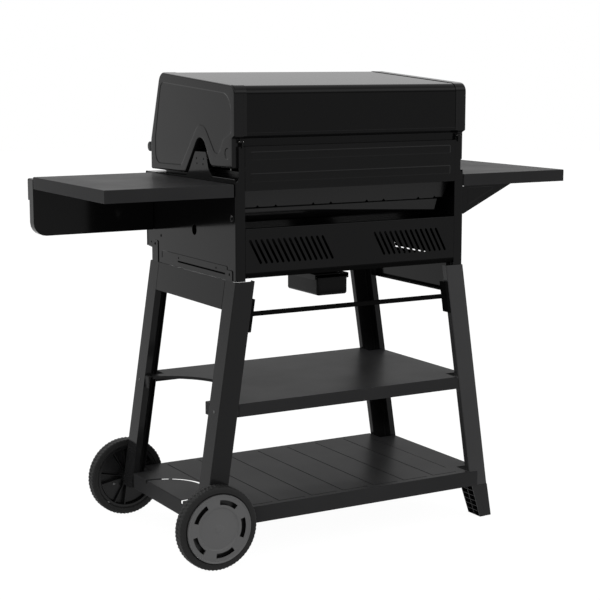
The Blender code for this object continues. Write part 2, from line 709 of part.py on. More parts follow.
def make_controls():
    """The gas manifold with its three valves, the knobs on their stems, and the igniter."""
    pipe_radius, pipe_y = 0.0100, -0.2140
    pipe_z = KNOB_Z - 0.0115 - pipe_radius - GAP
    pipe = rod_mesh((-0.2500, pipe_y, pipe_z), (0.2700, pipe_y, pipe_z), pipe_radius, 16)
    manifold = add_object("gas_manifold", pipe, "steel", smooth=True)
    inlet = rod_mesh((0.2550, pipe_y, pipe_z - 0.0450), (0.2550, pipe_y, pipe_z), 0.0080)
    add_cutter(manifold, inlet, "UNION")

    bore, stem = 0.0043, 0.0038
    valve_profile = [
        (0.0, 0.0), (0.0035, 0.0), (0.0035, 0.0080), (0.0115, 0.0080), (0.0115, 0.0300),
        (bore, 0.0300), (bore, 0.0120), (0.0, 0.0120),
    ]
    knob_profile = [
        (0.0, 0.0120), (bore, 0.0120), (bore, 0.0), (0.0240, 0.0), (0.0260, 0.0020),
        (0.0260, 0.0060), (0.0215, 0.0090), (0.0205, 0.0275), (0.0190, 0.0295), (0.0, 0.0295),
    ]
    knob_y = CONTROL_Y - KNOB_TRAVEL - 0.0020
    forwards = (0, -1, 0)
    for x, name in zip(KNOB_XS, KNOB_NAMES):
        valve = turned_mesh(valve_profile, (x, -0.2020, KNOB_Z), forwards, 16)
        add_object(f"gas_valve_{name}", valve, "brass", smooth=True)
        rod = rod_mesh((x, -0.2205, KNOB_Z), (x, knob_y - 0.0115, KNOB_Z), stem)
        add_object(f"valve_stem_{name}", rod, "brass", (x, CONTROL_Y, KNOB_Z), smooth=True)
        knob = turned_mesh(knob_profile, (x, knob_y, KNOB_Z), forwards, 24)
        add_object(f"control_knob_{name}", knob, "plastic", (x, knob_y, KNOB_Z), smooth=True)

    button_place = (IGNITER_X, CONTROL_Y, KNOB_Z)
    button_profile = [(0.0, -0.0120), (0.0078, -0.0120), (0.0078, 0.0070), (0.0065, 0.0080), (0.0, 0.0080)]
    button = turned_mesh(button_profile, button_place, forwards, 16)
    add_object("igniter_button", button, "plastic", button_place, smooth=True)


# --------------------------------------------------------------- side shelves

def make_side_shelves():
    """Two shelves, pressed as pans that open downwards, and their brackets."""
    for side, name in ((1, "right"), (-1, "left")):
        x0, x1 = sorted((side * SHELF_X[0], side * SHELF_X[1]))
        front, back = SHELF_FRONT_Y[side], SHELF_BACK_Y
        low_z = SHELF_TOP_Z - SHELF_LIP
        shelf = add_object(
            f"side_shelf_{name}", box_mesh((x0, front, low_z), (x1, back, SHELF_TOP_Z)), "powder_coat"
        )
        inner_low = (x0 + SHEET, front + SHEET, low_z - 0.0100)
        inner_high = (x1 - SHEET, back - SHEET, SHELF_TOP_Z - SHEET)
        add_cutter(shelf, box_mesh(inner_low, inner_high))

    wall_x, fold_z = -PANEL_X - GAP, SHELF_TOP_Z - SHELF_LIP - 2 * GAP
    outline = [
        (wall_x, 0.7780), (wall_x, fold_z), (-0.3186, fold_z), (-0.3186, 0.8740), (-0.4750, 0.8740),
        (-0.4610, 0.8475),
    ]
    bracket_ys = (("rear", SHELF_BACK_Y - SHEET - GAP - SHEET), ("front", SHELF_FRONT_Y[-1] + SHEET + GAP))
    for name, low_y in bracket_ys:
        bracket = sheet_mesh("XZ", outline, low_y, low_y + SHEET)
        add_object(f"shelf_bracket_{name}", bracket, "powder_coat")


def make_fascia():
    """The board under the +X shelf's front edge: a thin shell, thicker above than below."""
    low_z, step_z, high_z = 0.7340, 0.8200, 0.8720
    back_y, lower_front_y, upper_front_y = -0.2090, -0.2340, -0.2430
    x0, x1 = SHELF_X
    lower = rounded([(x0, low_z, 0.0), (x1, low_z, 0.032), (x1, high_z, 0.004), (x0, high_z, 0.0)], steps=5)
    fascia = add_object("shelf_fascia", sheet_mesh("XZ", lower, lower_front_y, back_y), "powder_coat")
    upper = rounded([(x0, step_z, 0.0), (x1, step_z, 0.0), (x1, high_z, 0.004), (x0, high_z, 0.0)], steps=3)
    add_cutter(fascia, sheet_mesh("XZ", upper, upper_front_y, back_y - 0.0050), "UNION")
    pocket = inset(lower, 2 * SHEET)
    inner_end = [(x - 0.0200 if x < x0 + 0.0100 else x, z) for x, z in pocket]
    add_cutter(fascia, sheet_mesh("XZ", inner_end, lower_front_y + SHEET, back_y - SHEET))


# ----------------------------------------------------------------------- lid

def lid_corners():
    """The lid's end profile in YZ, with the notch that clears the side panel's tab."""
    return [
        (-0.2164, 0.8860, 0.003),
        (-0.0203, 0.8880, 0.006),
        (0.0630, 0.9910, 0.020),
        (0.1130, 0.9095, 0.012),
        (0.2220, 0.9115, 0.004),
        (0.2220, 0.9780, 0.0),
        (0.2336, 0.9837, 0.0),
        (0.2336, 1.0973, 0.022),
        (-0.1600, 1.1248, 0.028),
        (-0.2161, 0.9586, 0.040),
    ]


def make_lid_caps():
    """The lid's two end caps: a plate with a band round its edge, and a hinge leaf."""
    outline = rounded(lid_corners(), steps=4)
    wall = 0.0020
    pivot = (0.0, HINGE_Y, HINGE_Z)
    for side, name in ((1, "right"), (-1, "left")):
        inner, outer = side * LID_CAP_X[0], side * LID_CAP_X[1]
        cap = add_object(
            f"lid_cap_{name}", sheet_mesh("YZ", outline, *sorted((inner, outer))), "enamel", pivot
        )
        hollow_x = sorted((inner - side * 0.0050, outer - side * wall))
        add_cutter(cap, sheet_mesh("YZ", inset(outline, wall), *hollow_x))
        leaf_x = sorted((side * LEAF_X[0], side * LEAF_X[1]))
        add_cutter(cap, sheet_mesh("YZ", hinge_leaf_outline(), *leaf_x), "UNION")
        bore_start = (side * (LEAF_X[0] - 0.005), HINGE_Y, HINGE_Z)
        bore_end = (side * (LEAF_X[1] + 0.005), HINGE_Y, HINGE_Z)
        add_cutter(cap, rod_mesh(bore_start, bore_end, PIN_RADIUS + 0.0004))
        pin_start = (side * (EYE_X[0] - 0.0015), HINGE_Y, HINGE_Z)
        pin_end = (side * (LEAF_X[1] + 0.0012), HINGE_Y, HINGE_Z)
        add_object(f"hinge_pin_{name}", rod_mesh(pin_start, pin_end, PIN_RADIUS), "steel", pivot, smooth=True)


def hinge_leaf_outline():
    """A leaf from the lid's stepped back edge to an eye on the hinge axis."""
    eye = arc((HINGE_Y, HINGE_Z), EYE_RADIUS, -90, 90, 6)
    return [*eye, (0.2212, HINGE_Z + EYE_RADIUS), (0.2212, HINGE_Z - EYE_RADIUS)]


def make_lid_shroud():
    """The bent sheet between the end caps, open underneath."""
    skin = 0.0012
    line = rounded([
        (-0.2154, 0.8880, 0.0), (-0.2151, 0.9585, 0.040), (-0.1593, 1.1237, 0.028),
        (0.2326, 1.0963, 0.022), (0.2326, 0.9843, 0.0), (0.2210, 0.9786, 0.0), (0.2210, 0.9350, 0.0),
    ], steps=5)
    outline = line + inset(line, -skin, closed=False)[::-1]
    reach = LID_CAP_X[0] - GAP
    pivot = (0.0, HINGE_Y, HINGE_Z)
    shroud = add_object("lid_shroud", sheet_mesh("YZ", outline, -reach, reach), "enamel", pivot)
    add_cutter(shroud, rod_mesh(dial_point(-0.0100), dial_point(0.0100), 0.0060))


def dial_normal():
    """The outward normal of the lid's sloping front."""
    slope = (Vector((-0.1593, 1.1237)) - Vector((-0.2151, 0.9585))).normalized()
    return Vector((0.0, -slope.y, slope.x))


def dial_point(out):
    """A point on the thermometer's axis, this far out from the lid's front face."""
    place = Vector((-0.2151, 0.9585)).lerp(Vector((-0.1593, 1.1237)), 0.46)
    return Vector((0.0, *place)) + dial_normal() * out


def make_lid_fittings():
    """The bar handle on its two brackets, and the thermometer."""
    pivot = (0.0, HINGE_Y, HINGE_Z)
    bar_radius, reach = 0.0125, 0.3000
    bar = rod_mesh((-reach, HANDLE_Y, HANDLE_Z), (reach, HANDLE_Y, HANDLE_Z), bar_radius, 16)
    add_object("lid_handle", bar, "powder_coat", pivot, smooth=True)
    lid_front_y = -0.2154 - GAP
    for side, name in ((1, "right"), (-1, "left")):
        x = sorted((side * 0.2420, side * 0.2580))
        arm = box_mesh((x[0], HANDLE_Y - 0.0155, HANDLE_Z - 0.0150), (x[1], lid_front_y, HANDLE_Z + 0.0150))
        bracket = add_object(f"handle_bracket_{name}", arm, "powder_coat", pivot)
        bore_start = (x[0] - 0.0100, HANDLE_Y, HANDLE_Z)
        bore_end = (x[1] + 0.0100, HANDLE_Y, HANDLE_Z)
        add_cutter(bracket, rod_mesh(bore_start, bore_end, bar_radius + GAP, 16))
    dial_profile = [
        (0.0, -0.0500), (0.0025, -0.0500), (0.0050, -0.0120), (0.0050, 0.0010), (0.0270, 0.0010),
        (0.0280, 0.0030), (0.0280, 0.0110), (0.0265, 0.0125), (0.0, 0.0125),
    ]
    dial = turned_mesh(dial_profile, dial_point(0.0), dial_normal(), 24)
    add_object("lid_thermometer", dial, "steel", pivot, smooth=True)


# -------------------------------------------------------------- grease parts

def make_grease_parts():
    """The catch box under the hopper, and the rails that it slides out of."""
    wall, rim_out, rim_z = 0.0015, 0.0030, BOX_Z[1] - 0.0030
    corners = rectangle((-BOX_X, BOX_Y[0]), (BOX_X, BOX_Y[1]))
    body = rounded([(x, y, 0.008) for x, y in corners], steps=3)
    box = add_object("grease_box", sheet_mesh("XY", body, BOX_Z[0], BOX_Z[1] - 0.0010), "powder_coat")
    add_cutter(box, sheet_mesh("XY", inset(body, -rim_out), rim_z, BOX_Z[1]), "UNION")
    add_cutter(box, sheet_mesh("XY", inset(body, wall), BOX_Z[0] + wall, BOX_Z[1] + 0.0100))

    top_z, rail_z, collar_z = 0.6400, rim_z - GAP - SHEET, 0.6540
    outer_x = BOX_X + rim_out + GAP + SHEET
    front_y, back_y = BOX_Y[0] - 0.0060, BOX_Y[1] - 0.0050
    outlet = rectangle((-0.0315, 0.0335), (0.0315, 0.0965))
    plate = rectangle((-outer_x, front_y), (outer_x, back_y))
    holder_mesh = sheet_mesh("XY", plate, top_z, top_z + SHEET, [outlet])
    holder = add_object("grease_box_holder", holder_mesh, "powder_coat")
    collar = sheet_mesh("XY", inset(outlet, -SHEET), top_z + SHEET / 2, collar_z, [outlet])
    add_cutter(holder, collar, "UNION")
    for side in (1, -1):
        cheek_x = side * (outer_x - SHEET)
        ledge_x = side * (BOX_X + GAP)
        add_lip(holder, (side * outer_x, front_y, rail_z), (cheek_x, back_y, top_z + SHEET / 2))
        add_lip(holder, (side * outer_x, front_y, rail_z), (ledge_x, back_y, rail_z + SHEET))


def main():
    clear_scene()
    make_legs()
    make_feet()
    make_aprons()
    make_cross_brace()
    make_mid_shelf()
    make_low_shelf()
    make_wheels()
    make_side_panels()
    make_rear_panels()
    make_cookbox()
    make_cooking_parts()
    make_control_panel()
    make_controls()
    make_side_shelves()
    make_fascia()
    make_lid_caps()
    make_lid_shroud()
    make_lid_fittings()
    make_grease_parts()


main()
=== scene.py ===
"""Looks for the cart gas barbecue: gloss black sheet metal, dark plastic, rubber and cast iron.

Metres, +Z up. +X is the user's right (the wheel side), -Y the front, +Y the back.
Every piece is built in its place at rest, and then rides on the CAD body that moves it.
"""

import json
from math import acos, atan2, cos, pi, radians, sin, tan

import bmesh
import bpy
from mathutils import Matrix, Vector


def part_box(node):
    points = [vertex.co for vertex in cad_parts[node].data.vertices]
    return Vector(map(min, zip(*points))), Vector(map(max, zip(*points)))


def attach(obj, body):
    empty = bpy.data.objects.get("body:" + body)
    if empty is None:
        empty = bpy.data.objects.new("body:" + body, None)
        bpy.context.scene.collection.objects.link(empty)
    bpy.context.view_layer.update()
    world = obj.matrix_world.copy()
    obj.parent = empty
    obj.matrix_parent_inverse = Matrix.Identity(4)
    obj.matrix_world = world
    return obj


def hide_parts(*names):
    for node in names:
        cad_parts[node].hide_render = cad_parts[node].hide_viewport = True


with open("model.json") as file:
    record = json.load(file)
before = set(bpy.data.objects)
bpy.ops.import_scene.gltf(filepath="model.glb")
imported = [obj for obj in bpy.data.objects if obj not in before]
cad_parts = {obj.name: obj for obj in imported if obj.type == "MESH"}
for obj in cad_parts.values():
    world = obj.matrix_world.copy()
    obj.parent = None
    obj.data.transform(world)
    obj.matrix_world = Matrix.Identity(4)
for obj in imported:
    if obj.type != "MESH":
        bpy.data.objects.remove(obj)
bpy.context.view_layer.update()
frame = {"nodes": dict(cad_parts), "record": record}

SHEET = 0.0015
SIDES = ((1, "right"), (-1, "left"))
ENDS = ((-1, "front"), (1, "rear"))
KNOB_Z = 0.79
BURNERS = ((0.18, "right"), (0, "middle"), (-0.18, "left"))


# --- materials

def set_inputs(node, **values):
    """Sets inputs of a shader node; an underscore in a name stands for a space."""
    for name, value in values.items():
        node.inputs[name.replace("_", " ")].default_value = value


def add_node(tree, kind, **values):
    """A new shader node with these inputs set."""
    node = tree.nodes.new(kind)
    set_inputs(node, **values)
    return node


def connect(tree, source, output, target, entry):
    tree.links.new(source.outputs[output], target.inputs[entry])


def finish(name, colour, roughness, ior=1.45, metallic=0.0, mottle=0.12, cloud=7.0, grain=900.0, bump=0.02):
    """A procedural finish: clouded colour and roughness, and a fine bump, all in the object's own space."""
    material = bpy.data.materials.new(name)
    material.use_nodes = True
    tree = material.node_tree
    shader = tree.nodes["Principled BSDF"]
    set_inputs(shader, IOR=ior, Metallic=metallic)
    place = add_node(tree, "ShaderNodeTexCoord")
    clouds = add_node(tree, "ShaderNodeTexNoise", Scale=cloud, Detail=5.0)
    connect(tree, place, "Object", clouds, "Vector")
    tint = tree.nodes.new("ShaderNodeMix")
    tint.data_type = "RGBA"
    dark, light = ((*[c * scale for c in colour], 1.0) for scale in (1 - mottle, 1 + mottle))
    tint.inputs["A"].default_value = dark
    tint.inputs["B"].default_value = light
    connect(tree, clouds, "Fac", tint, "Factor")
    connect(tree, tint, "Result", shader, "Base Color")
    polish = add_node(tree, "ShaderNodeMapRange", From_Min=0.3, From_Max=0.7)
    set_inputs(polish, To_Min=roughness * 0.88, To_Max=roughness * 1.12)
    connect(tree, clouds, "Fac", polish, "Value")
    connect(tree, polish, "Result", shader, "Roughness")
    fine = add_node(tree, "ShaderNodeTexNoise", Scale=grain, Detail=2.0)
    connect(tree, place, "Object", fine, "Vector")
    add_relief(tree, fine, bump, 0.001)
    return material


def add_relief(tree, pattern, strength, depth):
    """A bump from a noise pattern, on the way into the shader's normal."""
    relief = add_node(tree, "ShaderNodeBump", Strength=strength, Distance=depth)
    connect(tree, pattern, "Fac", relief, "Height")
    connect(tree, relief, "Normal", tree.nodes["Principled BSDF"], "Normal")


def brushed(name, colour, roughness, stretch):
    """Metal with fine brush lines: noise drawn out along one axis."""
    material = finish(name, colour, roughness, metallic=1.0, mottle=0.06, cloud=14.0, bump=0.0)
    tree = material.node_tree
    place = add_node(tree, "ShaderNodeTexCoord")
    drawn = add_node(tree, "ShaderNodeMapping", Scale=stretch)
    lines = add_node(tree, "ShaderNodeTexNoise", Scale=1.0, Detail=3.0)
    connect(tree, place, "Object", drawn, "Vector")
    connect(tree, drawn, "Vector", lines, "Vector")
    add_relief(tree, lines, 0.15, 0.0004)
    return material


ENAMEL = finish("gloss_black_enamel", (0.0016, 0.0016, 0.0017), 0.07, ior=1.185, grain=260.0, bump=0.006)
CAP_ENAMEL = finish(
    "gloss_black_cap_enamel", (0.0045, 0.0045, 0.0046), 0.08, ior=1.2, grain=260.0, bump=0.006
)
POWDER = finish("gloss_black_powder_coat", (0.0022, 0.0022, 0.0023), 0.1, ior=1.19, grain=420.0, bump=0.012)
SHELF_COAT = finish("satin_black_powder_coat", (0.016, 0.016, 0.0164), 0.34, ior=1.08, grain=620.0, bump=0.03)
# A lighter copy of the leg powder coat, for the rear left leg only: painted light on its rear face.
LEG_PAINTED_LIGHT_COAT = finish("leg_powder_coat_painted_light", (0.023, 0.023, 0.0235), 0.16, ior=1.22, grain=420.0, bump=0.012)
LEG_POWDER = finish(
    "leg_black_powder_coat", (0.0085, 0.0085, 0.0087), 0.12, ior=1.175, grain=420.0, bump=0.012
)
BOX_ENAMEL = finish("firebox_enamel", (0.002, 0.002, 0.0021), 0.24, ior=1.3, grain=300.0, bump=0.03)
CATCH_ENAMEL = finish("catch_box_enamel", (0.0012, 0.0012, 0.0013), 0.2, ior=1.17, grain=300.0, bump=0.03)
PLASTIC = finish("grained_black_plastic", (0.0045, 0.0045, 0.0047), 0.32, ior=1.28, grain=1500.0, bump=0.12)
HUBCAP = finish(
    "satin_dark_grey", (0.062, 0.062, 0.0625), 0.42, ior=1.32, mottle=0.04, grain=1400.0, bump=0.05
)
RUBBER = finish("black_rubber", (0.008, 0.008, 0.008), 0.62, ior=1.25, mottle=0.25, grain=700.0, bump=0.15)
IRON = finish("seasoned_cast_iron", (0.02, 0.019, 0.018), 0.55, ior=1.4, mottle=0.35, grain=520.0, bump=0.35)
STEEL = brushed("brushed_steel", (0.45, 0.44, 0.42), 0.3, (40.0, 1500.0, 1500.0))
BRASS = brushed("satin_brass", (0.6, 0.44, 0.2), 0.3, (1500.0, 60.0, 1500.0))
ZINC = finish("dark_plated_screw", (0.1, 0.1, 0.1), 0.35, metallic=1.0, bump=0.05)
DIAL = finish("dial_face", (0.62, 0.61, 0.58), 0.45, mottle=0.03, bump=0.01)
# Dull black and unreflecting: the rear brace's own finish, and painted shade on the vent tray and along the
# firebox seam.
DULL_BLACK_AND_SHADE = finish("dull_black_painted_shade", (0.0025, 0.0025, 0.0025), 0.85, ior=1.06, bump=0.05)
INK = finish("dial_ink", (0.02, 0.02, 0.02), 0.5, bump=0.01)
SLOTS = {
    "enamel": ENAMEL, "powder_coat": POWDER, "cast_iron": IRON, "steel": STEEL, "brass": BRASS,
    "plastic": PLASTIC, "hubcap_grey": HUBCAP, "rubber": RUBBER,
}


# --- flat outlines

def circle(centre, radius, sides=32):
    turns = [2 * pi * i / sides for i in range(sides)]
    return [(centre[0] + radius * cos(t), centre[1] + radius * sin(t)) for t in turns]


def arc(centre, radius, first, last, steps):
    turns = [radians(first + (last - first) * i / steps) for i in range(steps + 1)]
    return [(centre[0] + radius * cos(t), centre[1] + radius * sin(t)) for t in turns]


def rectangle(low, high):
    return [(low[0], low[1]), (high[0], low[1]), (high[0], high[1]), (low[0], high[1])]


def square(low, high, radius):
    """The corners of a rectangle, each with the same rounding radius."""
    return [(a, b, radius) for a, b in rectangle(low, high)]


def stadium(start, end, radius, steps=6):
    """A slot with round ends between two centres."""
    turn = atan2(end[1] - start[1], end[0] - start[0]) * 180 / pi
    return arc(start, radius, turn + 90, turn + 270, steps) + arc(end, radius, turn - 90, turn + 90, steps)


def rounded(corners, steps=6):
    """An outline whose corners (a, b, radius) are rounded; a radius of 0 stays one point."""
    outline = []
    for i, (a, b, radius) in enumerate(corners):
        here = Vector((a, b))
        if radius == 0:
            outline.append((a, b))
            continue
        before = (Vector(corners[i - 1][:2]) - here).normalized()
        after = (Vector(corners[(i + 1) % len(corners)][:2]) - here).normalized()
        half = before.angle(after) / 2
        middle = here + (before + after).normalized() * radius / sin(half)
        first = here + before * radius / tan(half)
        last = here + after * radius / tan(half)
        turn_first = atan2(first.y - middle.y, first.x - middle.x)
        sweep = atan2(last.y - middle.y, last.x - middle.x) - turn_first
        sweep = (sweep + pi) % (2 * pi) - pi
        for k in range(steps + 1):
            t = turn_first + sweep * k / steps
            outline.append((middle.x + radius * cos(t), middle.y + radius * sin(t)))
    return outline


def inset(outline, distance, closed=True):
    """The outline moved to its left as it runs: inwards, for one that runs anticlockwise."""
    points = [Vector(p) for p in outline]
    moved = []
    for i, here in enumerate(points):
        before = points[i - 1] if closed or i > 0 else here - (points[1] - here)
        after = points[(i + 1) % len(points)] if closed or i < len(points) - 1 else here + (here - before)
        first = (here - before).normalized()
        second = (after - here).normalized()
        normal = (Vector((-first.y, first.x)) + Vector((-second.y, second.x))).normalized()
        scale = distance / max(0.5, normal.dot(Vector((-first.y, first.x))))
        moved.append(tuple(here + normal * scale))
    return moved


def sided(sign, first, second):
    """Two places on the side that sign gives, the lower one first."""
    return sorted((sign * first, sign * second))


def shrunk(corners, distance):
    """The corners of an anticlockwise outline moved inwards, with their radii changed to match."""
    moved = []
    for i, (a, b, radius) in enumerate(corners):
        here = Vector((a, b))
        first = (here - Vector(corners[i - 1][:2])).normalized()
        second = (Vector(corners[(i + 1) % len(corners)][:2]) - here).normalized()
        normal = Vector((-first.y, first.x)) + Vector((-second.y, second.x))
        place = here + normal * distance / (1 + first.dot(second))
        bend = first.x * second.y - first.y * second.x
        new_radius = radius - distance if bend > 0 else radius + distance
        moved.append((place.x, place.y, max(0.0004, new_radius) if radius else 0))
    return moved


# --- mesh builders

def on_plane(plane, along, across, height):
    """A point from its two plane coordinates and its place along the third axis."""
    if plane == "YZ":
        return Vector((height, along, across))
    if plane == "XZ":
        return Vector((along, height, across))
    return Vector((along, across, height))


def edge_loop(bm, ring):
    """The edges round a ring of points, made where they aren't there yet."""
    pairs = zip(ring, ring[1:] + ring[:1])
    return [bm.edges.get(pair) or bm.edges.new(pair) for pair in pairs]


def fill(bm, *rings):
    """A flat face inside the first ring and outside the others."""
    edges = [edge for ring in rings for edge in edge_loop(bm, ring)]
    bmesh.ops.triangle_fill(bm, use_beauty=True, use_dissolve=False, edges=edges)


def wall(bm, first, second):
    """Faces between two rings with the same number of points."""
    for i in range(len(first)):
        bm.faces.new((first[i - 1], first[i], second[i], second[i - 1]))


def solid(bm, first, second):
    """A closed solid between two rings of points."""
    rings = [[bm.verts.new(point) for point in ring] for ring in (first, second)]
    wall(bm, *rings)
    fill(bm, rings[0])
    fill(bm, rings[1])


def ring_of(bm, plane, outline, height):
    return [bm.verts.new(on_plane(plane, a, b, height)) for a, b in outline]


def tower(bm, plane, loops, close=True):
    """Walls through (outline, height) loops with the same number of points. Gives the end rings."""
    rings = [ring_of(bm, plane, outline, height) for outline, height in loops]
    for first, second in zip(rings, rings[1:]):
        wall(bm, first, second)
    if close:
        fill(bm, rings[0])
        fill(bm, rings[-1])
    return rings[0], rings[-1]


def plate(bm, plane, outline, low, high, holes=(), edge=0.0003):
    """A flat plate with softened edges, its outline and its holes anticlockwise."""
    step = edge if high > low else -edge
    ends = [[], []]
    for number, loop in enumerate((outline, *holes)):
        narrow = inset(loop, -edge if number else edge)
        loops = [(narrow, low), (loop, low + step), (loop, high - step), (narrow, high)]
        first, last = tower(bm, plane, loops, close=False)
        ends[0].append(first)
        ends[1].append(last)
    for rings in ends:
        fill(bm, *rings)


def stepped(corners, levels, steps=6):
    """Loops for a tower: the corners moved inwards by each distance, at each height."""
    return [(rounded(shrunk(corners, distance), steps), height) for distance, height in levels]


def round_edge(radius, face, sign=1):
    """The (distance, height) levels of an edge with this radius that ends in a flat face."""
    turns = [radians(90 * k / 5) for k in range(6)]
    return [(radius * (1 - cos(t)) + 1e-6, sign * (face - radius + radius * sin(t))) for t in turns]


def embossed(bm, plane, corners, base, top, slope=0.0012):
    """A raised panel on a flat sheet: sloping sides, softened at the top edge."""
    rise = top - base
    levels = [
        (0, base - rise * 0.2), (slope * 0.15, base + rise * 0.15), (slope * 0.65, base + rise * 0.8),
        (slope, top),
    ]
    tower(bm, plane, stepped(corners, levels, 4))


def bent_sheet(bm, plane, line, thickness, low, high):
    """A folded sheet: an open line in the plane, given thickness to its left and drawn from low to high."""
    back = inset(line, thickness, closed=False)
    front_low, back_low = [ring_of(bm, plane, side, low) for side in (line, back)]
    front_high, back_high = [ring_of(bm, plane, side, high) for side in (line, back)]
    faces = ((front_low, front_high), (back_low, back_high), (front_low, back_low), (front_high, back_high))
    for first, second in faces:
        for i in range(len(line) - 1):
            bm.faces.new((first[i], first[i + 1], second[i + 1], second[i]))
    for i in (0, -1):
        bm.faces.new((front_low[i], back_low[i], back_high[i], front_high[i]))


def box(bm, low, high):
    """A block with softened edges."""
    plate(bm, "XY", rectangle(low[:2], high[:2]), low[2], high[2], edge=0.0006)


def turned(bm, profile, base, direction, sides=48, closed=False):
    """A turned piece. The profile is (radius, distance along direction from base)."""
    turn = Vector(direction).to_track_quat("Z", "X").to_matrix().to_4x4()
    matrix = Matrix.Translation(base) @ turn
    rows = []
    for radius, along in profile:
        if radius < 1e-7:
            rows.append([bm.verts.new(matrix @ Vector((0, 0, along)))])
            continue
        ring = circle((0, 0), radius, sides)
        rows.append([bm.verts.new(matrix @ Vector((a, b, along))) for a, b in ring])
    pairs = list(zip(rows, rows[1:]))
    if closed:
        pairs.append((rows[-1], rows[0]))
    for first, second in pairs:
        if len(first) == 1 or len(second) == 1:
            tip, ring = (first[0], second) if len(first) == 1 else (second[0], first)
            for i in range(len(ring)):
                bm.faces.new((tip, ring[i - 1], ring[i]))
        else:
            wall(bm, first, second)


def rod(bm, start, end, radius, sides=16, edge=0.0005):
    """A round bar between two points, with softened ends."""
    length = (Vector(end) - Vector(start)).length
    profile = [
        (0, 0), (radius - edge, 0), (radius, edge), (radius, length - edge), (radius - edge, length),
        (0, length),
    ]
    turned(bm, profile, start, Vector(end) - Vector(start), sides)


def screw(bm, place, direction, radius=0.0042, height=0.0022):
    """A pan-head screw with a cross recess drawn as a small sunk dish."""
    profile = [
        (0, height * 0.45), (radius * 0.28, height * 0.45), (radius * 0.36, height * 0.95),
        (radius * 0.62, height), (radius * 0.9, height * 0.7), (radius, height * 0.3), (radius, -0.0004),
        (0, -0.0004),
    ]
    turned(bm, profile, place, direction, 20)


def linked(name, data):
    """A new object in the scene."""
    piece = bpy.data.objects.new(name, data)
    bpy.context.scene.collection.objects.link(piece)
    return piece


def put(name, bm, material, body, replaces=(), sharp=38.0):
    """The mesh as a finished piece that rides on its body and stands for its CAD nodes."""
    bmesh.ops.remove_doubles(bm, verts=bm.verts, dist=2e-6)
    bmesh.ops.recalc_face_normals(bm, faces=bm.faces)
    mesh = bpy.data.meshes.new(name)
    bm.to_mesh(mesh)
    bm.free()
    mesh.shade_smooth()
    mesh.set_sharp_from_angle(angle=radians(sharp))
    mesh.materials.append(material)
    piece = linked(name, mesh)
    even = piece.modifiers.new("even_shading", "WEIGHTED_NORMAL")
    even.keep_sharp = True
    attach(piece, body)
    if replaces:
        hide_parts(*replaces)


def frame_mesh(node):
    """A copy of a CAD node's mesh with its flat faces made whole again."""
    bm = bmesh.new()
    bm.from_mesh(frame["nodes"][node].data)
    bmesh.ops.remove_doubles(bm, verts=bm.verts, dist=5e-6)
    bmesh.ops.dissolve_limit(bm, angle_limit=radians(0.4), verts=bm.verts, edges=bm.edges)
    return bm


def soften(bm, width, segments=2, angle=32.0, test=None):
    """Rounds the sharp edges that pass the test."""
    edges = []
    for edge in bm.edges:
        if len(edge.link_faces) == 2 and edge.calc_face_angle(0.0) > radians(angle):
            if test is None or test(*[v.co for v in edge.verts]):
                edges.append(edge)
    bmesh.ops.bevel(
        bm, geom=edges, offset=width, offset_type="OFFSET", segments=segments, profile=0.5,
        affect="EDGES", clamp_overlap=True,
    )


def softened(node, name, material, width, segments, angle):
    """The CAD node's own shape with softened edges, as a finished piece of the cart."""
    bm = frame_mesh(node)
    soften(bm, width, segments, angle)
    put(name, bm, material, "cart", [node])


def carve(name, bm, cutter):
    """The first mesh less the second, as a new mesh."""
    objects = []
    for part in (bm, cutter):
        bmesh.ops.recalc_face_normals(part, faces=part.faces)
        mesh = bpy.data.meshes.new(name)
        part.to_mesh(mesh)
        part.free()
        objects.append(linked(name, mesh))
    target, tool = objects
    boolean = target.modifiers.new("carve", "BOOLEAN")
    boolean.operation = "DIFFERENCE"
    boolean.object = tool
    boolean.solver = "EXACT"
    graph = bpy.context.evaluated_depsgraph_get()
    result = bmesh.new()
    result.from_object(target, graph)
    for piece in objects:
        mesh = piece.data
        bpy.data.objects.remove(piece, do_unlink=True)
        bpy.data.meshes.remove(mesh)
    return result


def joined(bm, other):
    """Adds the second mesh to the first."""
    mesh = bpy.data.meshes.new("joined")
    other.to_mesh(mesh)
    other.free()
    bm.from_mesh(mesh)
    bpy.data.meshes.remove(mesh)


# --- lid

LID_CORNERS = [
    (-0.2164, 0.886, 0.0045), (-0.0203, 0.888, 0.008), (0.063, 0.991, 0.026), (0.113, 0.9095, 0.014),
    (0.222, 0.9115, 0.004), (0.222, 0.978, 0.002), (0.2336, 0.9837, 0.002), (0.2336, 1.0973, 0.022),
    (-0.16, 1.1248, 0.03), (-0.2161, 0.9586, 0.04),
]
CAP_RECESS = [
    (-0.19, 0.901, 0.026), (-0.042, 0.904, 0.015), (0.064, 1.0205, 0.036), (0.147, 0.925, 0.022),
    (0.176, 0.974, 0.03), (0.2155, 0.99, 0.01), (0.2155, 1.079, 0.042), (-0.154, 1.101, 0.02),
    (-0.19, 0.964, 0.034),
]
CAP_INNER_X, CAP_FACE_X = 0.294, 0.317
HINGE = Vector((0, 0.229, 0.972))
LEAF_R = 0.004
SHROUD_FRONT = ((-0.2151, 0.9585), (-0.1593, 1.1237))


